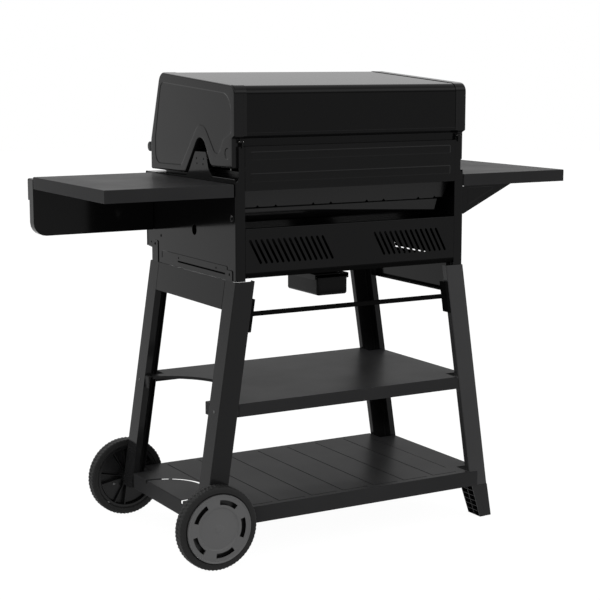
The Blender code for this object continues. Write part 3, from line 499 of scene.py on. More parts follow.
def make_lid_caps():
    """The end caps: a band with a round edge round a sunk panel and a sunk disc by the hinge.

    Each also has the hinge leaf and the lap that goes over the shroud.
    """
    fillet, depth, skin, steps, disc_middle = 0.0045, 0.0011, 0.002, 8, (0.1965, 0.944)
    for side, name in SIDES:
        bm = bmesh.new()
        band = [(0.0003, side * CAP_INNER_X), (0, side * (CAP_INNER_X + 0.0003))]
        band += round_edge(fillet, CAP_FACE_X, side)
        start, face = tower(bm, "YZ", stepped(LID_CORNERS, band, steps), close=False)
        panel = [
            (slope, side * (CAP_FACE_X - drop))
            for slope, drop in ((0, 0), (0.0004, 0.0002), (0.0022, depth - 0.0002), (0.0026, depth))
        ]
        panel_edge, panel_floor = tower(bm, "YZ", stepped(CAP_RECESS, panel, steps), close=False)
        disc = [
            (circle(disc_middle, radius, 32), side * (CAP_FACE_X - drop))
            for radius, drop in ((0.013, 0), (0.0128, 0.0003), (0.0118, depth), (0.0114, depth + 0.0001))
        ]
        disc_edge, disc_floor = tower(bm, "YZ", disc, close=False)
        fill(bm, face, panel_edge, disc_edge)
        fill(bm, panel_floor)
        fill(bm, disc_floor)
        hollow = [(skin, side * CAP_INNER_X), (skin + 0.0001, side * (CAP_FACE_X - depth - 0.0018))]
        inner, end = tower(bm, "YZ", stepped(LID_CORNERS, hollow, steps), close=False)
        wall(bm, start, inner)
        fill(bm, end)
        leaf = arc((HINGE.y, HINGE.z), LEAF_R, -90, 90, 12)
        leaf += [(0.2212, HINGE.z + LEAF_R), (0.2212, HINGE.z - LEAF_R)]
        plate(bm, "YZ", leaf, *sided(side, 0.299, 0.303))
        over = rounded([(0.2336, 0.9845, 0), *LID_CORNERS[7:], (-0.2164, 0.887, 0)], steps)
        bent_sheet(bm, "YZ", over, 0.0009, *sided(side, 0.286, CAP_INNER_X + 0.0005))
        put(f"cap_{name}", bm, CAP_ENAMEL, "lid", [f"lid_cap_{name}"])


def make_lid_shroud():
    """The bent sheet between the caps, with a rolled hem along each free edge."""
    skin, reach = 0.0012, CAP_INNER_X - 0.0005
    line = rounded([
        (-0.2154, 0.888, 0), (*SHROUD_FRONT[0], 0.04), (*SHROUD_FRONT[1], 0.028), (0.2326, 1.0963, 0.022),
        (0.2326, 0.9843, 0.0025), (0.221, 0.9786, 0.0025), (0.221, 0.935, 0),
    ], steps=12)
    bm = bmesh.new()
    bent_sheet(bm, "YZ", line, -skin, -reach, reach)
    rod(bm, (-reach, -0.2146, 0.8888), (reach, -0.2146, 0.8888), 0.0012, 12)
    rod(bm, (-reach, 0.2204, 0.936), (reach, 0.2204, 0.936), 0.0013, 12)
    hem = [
        (0.2326, 0.9845), (0.2334, 0.985), (0.2336, 0.9905), (0.233, 0.9915), (0.232, 0.9915),
        (0.232, 0.9845),
    ]
    tower(bm, "YZ", [(hem, -reach), (hem, reach)])
    put("shroud", bm, ENAMEL, "lid", ["lid_shroud"], sharp=50.0)


def make_lid_fittings():
    """The bar handle on its brackets, and the thermometer with a plain ticked dial."""
    bm = bmesh.new()
    y, z, radius, reach = -0.262, 0.938, 0.0125, 0.3
    half = [
        (0, 0), (0.01, 0), (0.0115, 0.0006), (0.0124, 0.0024), (radius, 0.006), (radius, 0.03),
        (0.0117, 0.0306), (0.0117, 0.0318), (radius, 0.0324),
    ]
    profile = half + [(r, 2 * reach - along) for r, along in reversed(half)]
    turned(bm, profile, (-reach, y, z), (1, 0, 0), 40)
    put("handle_bar", bm, POWDER, "lid", ["lid_handle"])
    for side, name in SIDES:
        bm = bmesh.new()
        middle = side * 0.25
        hole = circle((y, z), radius + 0.0005, 32)
        nose = rounded([
            (y - 0.016, z - 0.0155, 0.012), (-0.2165, z - 0.0155, 0.002), (-0.2165, z + 0.0155, 0.002),
            (y - 0.016, z + 0.0155, 0.012),
        ], steps=8)
        plate(bm, "YZ", nose, middle - 0.0075, middle + 0.0075, [hole], edge=0.0012)
        put(f"bracket_{name}", bm, POWDER, "lid", [f"handle_bracket_{name}"])
    make_thermometer()


def make_thermometer():
    """A steel bezel, a pale dial with generic ticks and a dark needle, and the stem behind."""
    front_low, front_high = [Vector(corner) for corner in SHROUD_FRONT]
    slope = (front_high - front_low).normalized()
    normal = Vector((0, -slope.y, slope.x))
    up = Vector((0, slope.x, slope.y))
    across = up.cross(normal)
    place = Vector((0, *front_low.lerp(front_high, 0.46)))
    bm = bmesh.new()
    profile = [
        (0, -0.05), (0.002, -0.05), (0.0027, -0.049), (0.0027, -0.012), (0.005, -0.011),
        (0.005, 0.0006), (0.0262, 0.0008), (0.0278, 0.0022), (0.028, 0.004), (0.028, 0.0095),
        (0.0274, 0.0116), (0.0262, 0.0124), (0.0248, 0.0118), (0.024, 0.01), (0, 0.01),
    ]
    turned(bm, profile, place, normal, 64)
    put("thermometer_case", bm, STEEL, "lid", ["lid_thermometer"])
    bm = bmesh.new()
    disc = [(0, 0.0098), (0.0236, 0.0098), (0.0238, 0.0103), (0.0236, 0.0105), (0, 0.0105)]
    turned(bm, disc, place, normal, 64)
    put("thermometer_dial", bm, DIAL, "lid")
    bm = bmesh.new()

    def mark(turn, inner, outer, wide, narrow, low, depth):
        """A flat mark from an inner to an outer radius of the dial."""
        out = up * cos(turn) + across * sin(turn)
        flat = normal.cross(out)
        corners = ((inner, -wide), (outer, -narrow), (outer, narrow), (inner, wide))
        ring = [place + out * r + flat * w + normal * low for r, w in corners]
        solid(bm, ring, [point + normal * depth for point in ring])

    for k in range(25):
        inner, half = (0.0165, 0.0005) if k % 4 == 0 else (0.0188, 0.0003)
        mark(radians(-135 + 270 * k / 24), inner, 0.0218, half, half, 0.0104, 0.0003)
    mark(radians(-120), -0.004, 0.0175, 0.0008, 0.0002, 0.011, 0.0004)
    cap = [(0, 0.0103), (0.002, 0.0103), (0.002, 0.0112), (0.0014, 0.0118), (0, 0.0118)]
    turned(bm, cap, place, normal, 20)
    put("thermometer_marks", bm, INK, "lid")


# --- firebox

PANEL_X, BACK_Y = 0.314, 0.2295
PANEL_BOTTOM_Z, PANEL_TOP_Z = 0.6549, 0.8876
PANEL_SLOTS = [
    rectangle((-0.0719, 0.6674), (0.1772, 0.6706)), rectangle((-0.1632, 0.6686), (-0.1602, 0.6843)),
    circle((-0.0682, 0.6776), 0.0024, 12), circle((0.1323, 0.6775), 0.0024, 12),
]


def make_side_panels():
    """The folded side panels: a slotted band, holes, a standing tab, the corner post and the hinge ear."""
    fold = 0.0022
    outline = rounded([
        (-0.247, 0.69, 0.002), (-0.224, 0.688, 0.001), (-0.224, PANEL_BOTTOM_Z, 0.001),
        (BACK_Y - fold, PANEL_BOTTOM_Z, 0), (BACK_Y - fold, PANEL_TOP_Z, 0),
        (0.1148, PANEL_TOP_Z, 0.015), (0.0957, 0.9031, 0.01), (0.0816, 0.9423, 0.006),
        (0.0265, 0.9411, 0.006), (-0.0057, 0.8957, 0.01), (-0.024, 0.881, 0.015), (-0.247, 0.878, 0.004),
    ])
    holes = [
        circle((0.018, 0.755), 0.0122, 32), circle((-0.169, 0.7226), 0.0035, 16),
        circle((-0.2274, 0.7014), 0.0025, 12), circle((-0.2002, 0.7384), 0.002, 12), *PANEL_SLOTS,
    ]
    tab_holes = ((0.0335, 0.925), (0.0703, 0.925), (0.0359, 0.913), (0.0674, 0.913))
    holes += [circle(place, 0.0021, 12) for place in tab_holes]
    button = [
        (0, 0.0002), (0.0052, 0.0002), (0.006, 0.0006), (0.0072, 0.0006), (0.008, 0.0001), (0.008, -0.0003),
        (0, -0.0003),
    ]
    middle = (BACK_Y - fold, PANEL_X - fold)
    corner = arc(middle, fold, 0, 90, 5) + arc(middle, fold - SHEET, 90, 0, 5)
    for side, name in SIDES:
        bm = bmesh.new()
        face = side * PANEL_X
        plate(bm, "YZ", outline, face - side * SHEET, face, holes)
        turned(bm, button, (face, 0.211, 0.7998), (side, 0, 0), 32)
        band = rounded(square((-0.166, 0.6549), (0.187, 0.687), 0.003), 5)
        plate(bm, "YZ", band, *sorted((face + side * 0.0001, face + side * 0.0012)), PANEL_SLOTS, edge=0.0004)
        quarter = [(side * b, a) for a, b in corner]
        tower(bm, "XY", [(quarter, PANEL_BOTTOM_Z), (quarter, PANEL_TOP_Z - 0.006)])
        post = rounded([
            (side * 0.2895, PANEL_BOTTOM_Z, 0), (side * (PANEL_X - fold), PANEL_BOTTOM_Z, 0),
            (side * (PANEL_X - fold), PANEL_TOP_Z - 0.0075, 0), (side * 0.305, PANEL_TOP_Z, 0.003),
            (side * 0.305, 0.961, 0.003), (side * 0.2895, 0.961, 0.001),
        ], steps=4)
        plate(bm, "XZ", post, BACK_Y - SHEET, BACK_Y)
        ear = [(0.225, 0.957), (0.233, 0.957), *arc((HINGE.y, HINGE.z), LEAF_R, 0, 180, 12)]
        plate(bm, "YZ", ear, *sided(side, 0.2945, 0.2985))
        put(f"panel_{name}", bm, POWDER, "cart", [f"side_panel_{name}"])


def make_rear_panels():
    """The heat shield with two pressed fields, the vent panel with leaning slots, and the dull black tray
    below them as painted shade for the dark inside.
    """
    reach, fold = 0.289, 0.0022
    bm = bmesh.new()
    line = rounded([(BACK_Y - 0.012, 0.8605, 0), (BACK_Y, 0.8605, fold), (BACK_Y, 0.961, 0)])
    bent_sheet(bm, "YZ", line, SHEET, -reach, reach)
    for low, high in ((0.929, 0.95), (0.8795, 0.901)):
        field = square((-0.2755, low), (0.2755, high), 0.003)
        embossed(bm, "XZ", field, BACK_Y, BACK_Y + 0.0014, slope=0.0034)
    put("heat_shield", bm, POWDER, "cart", ["rear_heat_shield"])

    bm = bmesh.new()
    low, high, half, lean, pitch = 0.6925, 0.75, 0.003, 0.0275, 0.0147
    slots = []
    for count, first_x in ((14, 0.277), (13, -0.0583)):
        for k in range(count):
            top_x = first_x - pitch * k
            slots.append(stadium((top_x - lean, low + half), (top_x, high - half), half, 4))
    top = 0.775
    outline = rectangle((-reach, 0.6705), (reach, top - fold))
    plate(bm, "XZ", outline, BACK_Y - SHEET, BACK_Y, slots, edge=0.0002)
    line = rounded([(BACK_Y - 0.012, top, 0), (BACK_Y, top, fold), (BACK_Y, top - fold * 1.001, 0)])
    bent_sheet(bm, "YZ", line, -SHEET, -reach, reach)
    put("vent_panel", bm, POWDER, "cart", ["rear_vent_panel"])
    bm = bmesh.new()
    base, floor = 0.6605, 0.662
    foot = rounded([
        (BACK_Y - 0.012, base, 0), (BACK_Y - 0.008, base, 0.001), (BACK_Y, 0.6704, 0.001),
        (BACK_Y, 0.6707, 0),
    ], steps=4)
    bent_sheet(bm, "YZ", foot, SHEET, -reach, reach)
    wide, front, hole_start, hole_end = 0.3118, -0.22, 0.032, 0.097
    box(bm, (-wide, front, base), (wide, hole_start + 0.0005, floor))
    box(bm, (-wide, hole_end - 0.0005, base), (wide, BACK_Y - 0.011, floor))
    box(bm, (-wide, front, 0.661), (wide, front + SHEET, 0.696))
    for side in (1, -1):
        edges = sided(side, 0.0325, wide)
        box(bm, (edges[0], hole_start, base), (edges[1], hole_end, floor))
    # The tray is a real part, but it is dull black so it reads as the shade inside the firebox behind the
    # slots: painted shade.
    put("vent_tray_painted_shade", bm, DULL_BLACK_AND_SHADE, "cart")


def make_firebox():
    """The tub, with a row of small triangular vents across its back, and a dull black strip along its pressed
    seam below them as painted shade.
    """
    face_y, foot_z, pitch = 0.1962, 0.819, 0.148
    vents = bmesh.new()
    for k in range(4):
        for first_x in (0.0947, 0.0469):
            x = first_x - pitch * (k - 1)
            ring = [(x - 0.0055, foot_z), (x + 0.0055, foot_z), (x, foot_z + 0.006)]
            tower(vents, "XZ", [(ring, face_y - 0.012), (ring, face_y + 0.01)])
    bm = frame_mesh("cookbox")
    bmesh.ops.triangulate(bm, faces=bm.faces)
    bm = carve("firebox", bm, vents)
    put("firebox_tub", bm, BOX_ENAMEL, "cart", ["cookbox"], sharp=12.0)
    # A dull black strip along the seam: painted shade in the crease.
    bm = bmesh.new()
    box(bm, (-0.26, 0.194, 0.8168), (0.274, 0.1978, 0.8188))
    put("firebox_seam_painted_shade", bm, DULL_BLACK_AND_SHADE, "cart")


def make_cooking_parts():
    """Grates, flame tents, burners and the wire warming rack."""
    port = [(0, 0), (0.0014, 0), (0.0018, 0.0003), (0.0024, -0.0004), (0, -0.0008)]
    for _, name in SIDES:
        softened(f"cooking_grate_{name}", f"grate_{name}", IRON, 0.0011, 3, 40.0)
    for x, name in BURNERS:
        softened(f"flame_tent_{name}", f"tent_{name}", ENAMEL, 0.0004, 2, 20.0)
        bm = bmesh.new()
        z, radius = 0.8, 0.0125
        profile = [
            (0, 0), (0.009, 0), (0.01, 0.001), (0.01, 0.025), (radius, 0.033), (radius, 0.345),
            (0.0118, 0.354), (0.006, 0.3568), (0, 0.357),
        ]
        turned(bm, profile, (x, -0.197, z), (0, 1, 0), 32)
        for k in range(24):
            y = -0.15 + 0.0125 * k
            for turn in (50, 130):
                out = Vector((cos(radians(turn)), 0, sin(radians(turn))))
                turned(bm, port, Vector((x, y, z)) + out * radius, out, 8)
        put(f"burner_tube_{name}", bm, STEEL, "cart", [f"burner_{name}"])
    make_warming_rack()


def make_warming_rack():
    """Round wires across a rectangular wire frame, on four legs."""
    bm = bmesh.new()
    front, back, half, wire, top = 0.03, 0.155, 0.2875, 0.0024, 0.9856
    for y in (front + wire, back - wire):
        rod(bm, (-half, y, top), (half, y, top), wire, 12)
    for x in (-half + wire, half - wire):
        rod(bm, (x, front, top), (x, back, top), wire, 12)
        for y in (front + wire, back - wire):
            rod(bm, (x, y, 0.9026), (x, y, top), wire * 0.5, 10)
    gaps = 7
    pitch = (back - front - 2 * wire) / gaps
    for k in range(1, gaps):
        y = front + wire + pitch * k
        rod(bm, (-half + wire, y, top), (half - wire, y, top), wire * 0.8, 10)
    put("rack_wires", bm, STEEL, "cart", ["warming_rack"])


# --- gas controls

CONTROL_Y, KNOB_Y, IGNITER_X = -0.2555, -0.2625, 0.255


def make_control_panel():
    """The front panel with softened folds, and a low raised ring round each knob and round the igniter."""
    bm = frame_mesh("control_panel")
    low, high, near = 0.69, 0.878, 1e-4

    def on_fold(*ends):
        """True for an edge along the bottom or the top of the front face."""
        return all(abs(p.y - CONTROL_Y) < near and not low + near <= p.z <= high - near for p in ends)

    soften(bm, 0.0018, 4, 60.0, on_fold)
    soften(bm, 0.0003, 2, 40.0)
    put("front_panel", bm, POWDER, "cart", ["control_panel"])
    bm = bmesh.new()
    rim = [
        (0.03, -0.0002), (0.03, 0.0002), (0.031, 0.0009), (0.033, 0.001), (0.034, 0.0003), (0.0342, -0.0002),
    ]
    for x, _ in BURNERS:
        turned(bm, rim, (x, CONTROL_Y, KNOB_Z), (0, -1, 0), 64, closed=True)
    small = [
        (0.01, -0.0002), (0.01, 0.0004), (0.0106, 0.0012), (0.0122, 0.0012), (0.013, 0.0003),
        (0.013, -0.0002),
    ]
    turned(bm, small, (IGNITER_X, CONTROL_Y, KNOB_Z), (0, -1, 0), 40, closed=True)
    put("knob_surrounds", bm, STEEL, "cart")


def make_knobs():
    """Fluted knobs with a bore for the stem and a pale pointer, the valves, and the igniter button."""
    flutes, steps = 18, 4
    sides, deep = flutes * steps, 0.0007
    profile = [
        (0.0043, 0.012, 0), (0.0043, 0, 0), (0.0238, 0, 0), (0.0256, 0.0008, 0), (0.026, 0.0022, 0),
        (0.026, 0.0056, 0), (0.025, 0.0066, 0), (0.0222, 0.008, 0), (0.0215, 0.0092, deep),
        (0.0207, 0.027, deep), (0.02, 0.0286, deep), (0.0188, 0.0294, 0),
    ]
    for x, name in BURNERS:
        bm = bmesh.new()
        rows = []
        for radius, along, dip in profile:
            row = []
            for i in range(sides):
                turn = 2 * pi * i / sides
                reach = radius - dip * (1 if i % steps < 2 else -0.3)
                row.append(bm.verts.new((x + reach * cos(turn), KNOB_Y - along, KNOB_Z + reach * sin(turn))))
            rows.append(row)
        for first, second in zip(rows, rows[1:]):
            wall(bm, first, second)
        fill(bm, rows[0])
        fill(bm, rows[-1])
        put(f"knob_{name}_grip", bm, PLASTIC, f"knob_{name}", [f"control_knob_{name}"])
        bm = bmesh.new()
        pointer = rounded(square((x - 0.0014, 0.796), (x + 0.0014, 0.8085), 0.0012), 4)
        plate(bm, "XZ", pointer, -0.2918, -0.2922)
        put(f"knob_{name}_pointer", bm, DIAL, f"knob_{name}")
        softened(f"gas_valve_{name}", f"valve_{name}", BRASS, 0.0005, 2, 40.0)
    bm = bmesh.new()
    profile = [
        (0, -0.012), (0.0074, -0.012), (0.0078, -0.0116), (0.0078, 0.006), (0.0074, 0.0074), (0.0064, 0.008),
        (0.005, 0.0079), (0.003, 0.0075), (0, 0.0074),
    ]
    turned(bm, profile, (IGNITER_X, CONTROL_Y, KNOB_Z), (0, -1, 0), 40)
    put("igniter_cap", bm, PLASTIC, "igniter", ["igniter_button"])


# --- side shelves

def make_side_shelves():
    """Pressed pans that open downwards, with round folds, their brackets and the deep front board."""
    lip, radius = 0.029, 0.0022
    for _, name in SIDES:
        low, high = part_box(f"side_shelf_{name}")
        corners = square(low[:2], high[:2], 0.0035)
        bm = bmesh.new()
        base = high.z - lip
        outer = [(0.0003, base), (0, base + 0.0003), *round_edge(radius, high.z)]
        start, top = tower(bm, "XY", stepped(corners, outer, 5), close=False)
        fill(bm, top)
        hollow = [(SHEET, base), (SHEET, high.z - SHEET)]
        inner, roof = tower(bm, "XY", stepped(corners, hollow, 5), close=False)
        fill(bm, roof)
        wall(bm, start, inner)
        put(f"shelf_top_{name}", bm, SHELF_COAT, "cart", [f"side_shelf_{name}"])
    for end, name in ENDS:
        low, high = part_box(f"shelf_bracket_{name}")
        bm = bmesh.new()
        outline = rounded([
            (-0.461, 0.8475, 0.003), (-0.3145, 0.778, 0.002), (-0.3145, 0.847, 0), (-0.3186, 0.847, 0),
            (-0.3186, 0.874, 0), (-0.475, 0.874, 0.002),
        ], 5)
        plate(bm, "XZ", outline, low.y, high.y)
        field = [(-0.42, 0.844, 0.004), (-0.329, 0.8, 0.004), (-0.329, 0.844, 0.004)]
        face = high.y if end > 0 else low.y
        embossed(bm, "XZ", field, face, face + end * 0.0006, slope=0.0012)
        put(f"bracket_plate_{name}", bm, POWDER, "cart", [f"shelf_bracket_{name}"])
    softened("shelf_fascia", "front_board", POWDER, 0.0012, 3, 40.0)


# --- legs

LEG_TOP_X, LEG_TOP_Z, LEG_LEAN = 0.3159, 0.6547, 0.152
LEG_Y, LEG_BOTTOM_Z = 0.232, 0.0855
LEG_FACE, LEG_SIDE, LEG_RETURN, LEG_LIP, LEG_SHEET = 0.05, 0.0522, 0.018, 0.016, 0.0018


def leg_x(z):
    """The outer face of a leg on the +X side at this height."""
    return LEG_TOP_X + (LEG_TOP_Z - z) * LEG_LEAN


def leg_section(side, end, z):
    """A leg's section at this height: the outer face with its lip, and the end face with its return."""
    outer, inner, sheet = leg_x(z), leg_x(z) - LEG_FACE, LEG_SHEET
    free = LEG_Y - LEG_SIDE
    corners = [
        (outer, free, 0.0004), (outer, LEG_Y, 0.003), (inner, LEG_Y, 0.003),
        (inner, LEG_Y - LEG_RETURN, 0.0004), (inner + sheet, LEG_Y - LEG_RETURN, 0.0004),
        (inner + sheet, LEG_Y - sheet, 0.0012), (outer - sheet, LEG_Y - sheet, 0.0012),
        (outer - sheet, free + sheet, 0.0012), (outer - LEG_LIP, free + sheet, 0.0004),
        (outer - LEG_LIP, free, 0.0004),
    ]
    return [Vector((side * x, end * y, z)) for x, y in rounded(corners, 5)]


def make_legs():
    """Leaning channel legs with round folds. Each has a tab with a hole that laps over the side panel."""
    hole_r = 0.003
    slot_y, slot_z = -0.1989, 0.6993
    slot = stadium((slot_y - hole_r, slot_z), (slot_y + hole_r, slot_z), hole_r)
    tabs = {-1: (0.7085, slot), 1: (0.6796, circle((0.2003, 0.6697), hole_r, 16))}
    for side, side_name in SIDES:
        for end, end_name in ENDS:
            bm = bmesh.new()
            solid(bm, *[leg_section(side, end, z) for z in (LEG_BOTTOM_Z, LEG_TOP_Z)])
            edge_y = LEG_Y - LEG_SIDE + 0.006
            tab_y = sided(end, edge_y, edge_y + 0.028)
            top, hole = tabs[end]
            corners = [
                (tab_y[0], LEG_TOP_Z - 0.003, 0), (tab_y[1], LEG_TOP_Z - 0.003, 0), (tab_y[1], top, 0.005),
                (tab_y[0], top, 0.005),
            ]
            outer = side * LEG_TOP_X
            plate(bm, "YZ", rounded(corners, 5), outer - side * 0.0017, outer, [hole])
            name = f"leg_{end_name}_{side_name}"
            # The rear left leg takes the lighter copy of the leg coat as painted light.
            coat = LEG_PAINTED_LIGHT_COAT if name == "leg_rear_left" else LEG_POWDER
            put(f"{name}_channel", bm, coat, "cart", [name])


def make_feet():
    """Moulded feet: a smooth tapered shell whose inner side is open, with a grid of ribs in it."""
    top_z, rows, rib = LEG_BOTTOM_Z - 0.0005, 6, 0.0011
    inner_x, outer_x, length = (-0.3831, -0.3561), (-0.4181, -0.4034), (0.0502, 0.0545)
    for end, name in ENDS:
        def corner(across, along, z):
            """A point of the foot: across is 0 to 1 outwards, along is 0 to 1 towards the end face."""
            t = z / top_z
            inner = inner_x[0] + (inner_x[1] - inner_x[0]) * t
            outer = outer_x[0] + (outer_x[1] - outer_x[0]) * t
            first = LEG_Y - length[0] + (length[0] - length[1]) * t
            return Vector((inner + (outer - inner) * across, end * (first + (LEG_Y - first) * along), z))

        def block(bm, across, along, heights):
            flat = rectangle((across[0], along[0]), (across[1], along[1]))
            solid(bm, *[[corner(a, b, z) for a, b in flat] for z in heights])

        bm = bmesh.new()
        block(bm, (0.42, 1.0), (0, 1.0), (0, top_z))
        soften(bm, 0.0016, 3, 30.0)
        block(bm, (0, 0.44), (0, 0.04), (0, top_z))
        block(bm, (0, 0.44), (0.96, 1.0), (0, top_z))
        block(bm, (0.01, 0.44), (0.485, 0.515), (0.001, top_z - 0.001))
        for k in range(rows + 1):
            z = (top_z - rib) * k / rows
            block(bm, (0.01, 0.44), (0.03, 0.97), (z, z + rib))
        put(f"foot_{name}_moulding", bm, PLASTIC, "cart", [f"foot_{name}_left"], sharp=30.0)


def make_aprons():
    """The plates under the side panels and the rear brace, with softened edges."""
    for _, name in SIDES:
        bm = frame_mesh(f"apron_{name}")
        soften(bm, 0.0006, 3, 32.0, lambda a, b: max(a.z, b.z) < 0.6)
        put(f"apron_{name}_plate", bm, POWDER, "cart", [f"apron_{name}"])
    softened("cross_brace", "rear_brace", DULL_BLACK_AND_SHADE, 0.0009, 3, 40.0)


# --- shelves

def folded_edge(bm, plane, end, places, top, fall, radius, reach):
    """A shelf's edge on one side: from the first place out to the second, then down over a round fold."""
    start, edge = places
    line = rounded([(end * start, top, 0), (end * edge, top, radius), (end * edge, top - fall, 0)])
    bent_sheet(bm, plane, line, -end * SHEET, *reach)


def add_lips(bm, end, y, spans, low, high):
    """The upright ends of a shelf's long edge, beyond its fold."""
    lip_y = sided(end, y, y - SHEET)
    for start, stop in spans:
        box(bm, (start, lip_y[0], low), (stop, lip_y[1], high))


def make_mid_shelf():
    """The middle shelf with round folds, a cut-out with a clip on each side of it and a screw at each leg."""
    y, top, fall, side, fold = 0.2287, 0.3715, 0.03, 0.353, 0.003
    notch_x, notch_y, edge_x, reach = 0.3072, 0.1785, 0.35, 0.316
    tank, cut, start, joint_x, clip_x = (0.39, 0), 0.164, -0.306, 0.1499, 0.359
    spread = acos((tank[0] - edge_x) / cut) * 180 / pi
    bm = bmesh.new()
    line = rounded([(-y, top - fall, 0), (-y, top, fold), (y, top, fold), (y, top - fall, 0)])
    bent_sheet(bm, "YZ", line, -SHEET, start, 0.15)
    curve = arc(tank, cut, 180 + spread, 180 - spread, 28)
    outline = [
        (joint_x, -y + fold), (notch_x, -y + fold), (notch_x, -notch_y), (edge_x, -notch_y), *curve,
        (edge_x, notch_y), (notch_x, notch_y), (notch_x, y - fold), (joint_x, y - fold),
    ]
    plate(bm, "XY", outline, top - SHEET, top, edge=0.0002)
    curve = arc(tank, cut, 180 + spread - 1, 180 - spread + 1, 28)
    bent_sheet(bm, "XY", curve, SHEET, top - 0.007, top - 0.0005)
    for end in (-1, 1):
        folded_edge(bm, "YZ", end, (y - fold * 1.001, y), top, fall, fold, (joint_x, notch_x + 0.001))
        add_lips(bm, end, y, ((-reach, start), (notch_x, reach)), top - fall, top - 0.003)
        tab = sided(end, notch_y - 0.02, notch_y - 0.0005)
        line = rounded([(edge_x - 0.005, top, 0), (clip_x, top, 0.002), (clip_x, top - fall, 0)], 5)
        bent_sheet(bm, "XZ", line, -SHEET, *tab)
    line = rounded([(-side, top - fall, 0), (-side, top, fold), (start + 0.0001, top, 0)])
    bent_sheet(bm, "XZ", line, -SHEET, -notch_y, notch_y)
    put("mid_shelf_tray", bm, SHELF_COAT, "cart", ["mid_shelf"], sharp=40.0)
    bm, screw_z = bmesh.new(), 0.356
    for side in (-1, 1):
        for end in (-1, 1):
            screw(bm, (side * leg_x(screw_z), end * 0.208, screw_z), (side, 0, 0.15), 0.0034, 0.0018)
    put("mid_shelf_screws", bm, ZINC, "cart")


def make_low_shelf():
    """The bottom shelf: a pressed tray whose top is divided into planks by narrow grooves."""
    y, top, fall, side, fold, reach = 0.2342, 0.1241, 0.0386, 0.395, 0.0022, 0.37
    notch_x, notch_y, margin = 0.3445, 0.1785, 0.0001
    tank, ring, half = (0.39, 0), 0.1005, 0.005
    slots = [
        arc(tank, ring + half, first, last, 24) + arc(tank, ring - half, last, first, 24)
        for first, last in ((80, 119.5), (124.5, 235.5), (240.5, 280))
    ]
    half_outline = [
        (side - fold, -notch_y), (side - fold, notch_y), (notch_x, notch_y), (notch_x, y - fold),
        (-notch_x, y - fold), (-notch_x, notch_y),
    ]
    outline = half_outline + [(-a, -b) for a, b in half_outline]
    bm, cutter = bmesh.new(), bmesh.new()
    tower(bm, "XY", [(outline, top - SHEET), (outline, top)])
    width, depth, pitch, hook, front, back = 0.0028, 0.001, 0.0885, 0.0706, -0.213, 0.2165
    for k in range(7):
        groove_x = 0.2842 - pitch * k
        left, right = groove_x - width / 2, groove_x + width / 2
        groove = [
            (left, front), (right, front), (right, back), (groove_x - hook, back),
            (groove_x - hook, back - width), (left, back - width),
        ]
        tower(cutter, "XY", [(groove, top - depth), (groove, top + 0.01)])
    groove = rectangle((-0.3184, -0.17), (-0.3166, 0.17))
    tower(cutter, "XY", [(groove, top - depth), (groove, top + 0.01)])
    bm, cutter = carve("low_shelf_top", bm, cutter), bmesh.new()
    for slot in slots:
        tower(cutter, "XY", [(slot, top - 0.01), (slot, top + 0.02)])
    bm = carve("low_shelf_top", bm, cutter)
    bmesh.ops.triangulate(bm, faces=bm.faces)
    for end in (-1, 1):
        folded_edge(bm, "YZ", end, (y - fold - margin, y), top, fall, fold, (-notch_x, notch_x))
        add_lips(bm, end, y, ((-reach, margin - notch_x), (notch_x - margin, reach)), top - fall, top - 0.002)
        lip, cutter = bmesh.new(), bmesh.new()
        folded_edge(lip, "XZ", end, (side - fold - margin, side), top, fall, fold, (-notch_y, notch_y))
        for slot in slots:
            tower(cutter, "XY", [(slot, top - 0.008), (slot, top + 0.02)])
        joined(bm, carve("low_shelf_lip", lip, cutter))
    put("low_shelf_planks", bm, SHELF_COAT, "cart", ["low_shelf"], sharp=40.0)


# --- wheels

WHEEL_X, WHEEL_Y, WHEEL_R = 0.383, 0.256, 0.0985


def make_wheels():
    for end, name in ENDS:
        centre = Vector((WHEEL_X, end * WHEEL_Y, WHEEL_R))
        make_tyre(centre, end, name)
        make_hub(centre, end, name)
        make_hubcap(centre, end, name)


def polar(centre, end, radius, turn, along):
    return centre + Vector((radius * cos(turn), end * along, radius * sin(turn)))


def make_tyre(centre, end, name):
    """A rubber tyre: a rounded sidewall with a raised ring, and two staggered rows of tread blocks."""
    teeth, steps, deep = 64, 4, 0.0014
    sides = teeth * steps
    side_wall = [
        (0.0809, 0.013), (0.0822, 0.0142), (0.0838, 0.0149), (0.085, 0.0151), (0.0857, 0.0147),
        (0.088, 0.0147), (0.0893, 0.015), (0.0918, 0.0149), (0.0944, 0.0145), (0.096, 0.0139),
    ]
    half = [(r, a, 0) for r, a in side_wall]
    half += [
        (0.0972, 0.0132, 0.4), (0.0982, 0.0118, 1.0), (0.0985, 0.006, 1.0), (0.0985, 0.0016, 1.0),
        (0.0974, 0.001, 0),
    ]
    profile = [(r, -a, d, 0) for r, a, d in half] + [(r, a, d, 2) for r, a, d in reversed(half)]
    bm = bmesh.new()
    rows = []
    for radius, along, cut, shift in profile:
        row = []
        for i in range(sides):
            low = (i + shift) % steps >= 2
            place = radius - (deep * cut if low else 0.0)
            row.append(bm.verts.new(polar(centre, end, place, 2 * pi * i / sides, along)))
        rows.append(row)
    for first, second in zip(rows, rows[1:] + rows[:1]):
        wall(bm, first, second)
    put(f"tyre_{name}_tread", bm, RUBBER, f"{name}_wheel", [f"tyre_{name}"], sharp=45.0)


def sector(bm, centre, end, radii, turns, span, steps=8):
    """A curved block round a wheel's axis."""
    first, last = turns
    angles = [first + (last - first) * i / steps for i in range(steps + 1)]
    flat = [(radii[1], t) for t in angles] + [(radii[0], t) for t in reversed(angles)]
    rings = [[bm.verts.new(polar(centre, end, radius, t, along)) for radius, t in flat] for along in span]
    wall(bm, *rings)
    for ring in rings:
        for i in range(steps):
            j = 2 * steps + 1 - i
            bm.faces.new((ring[i], ring[i + 1], ring[j - 1], ring[j]))


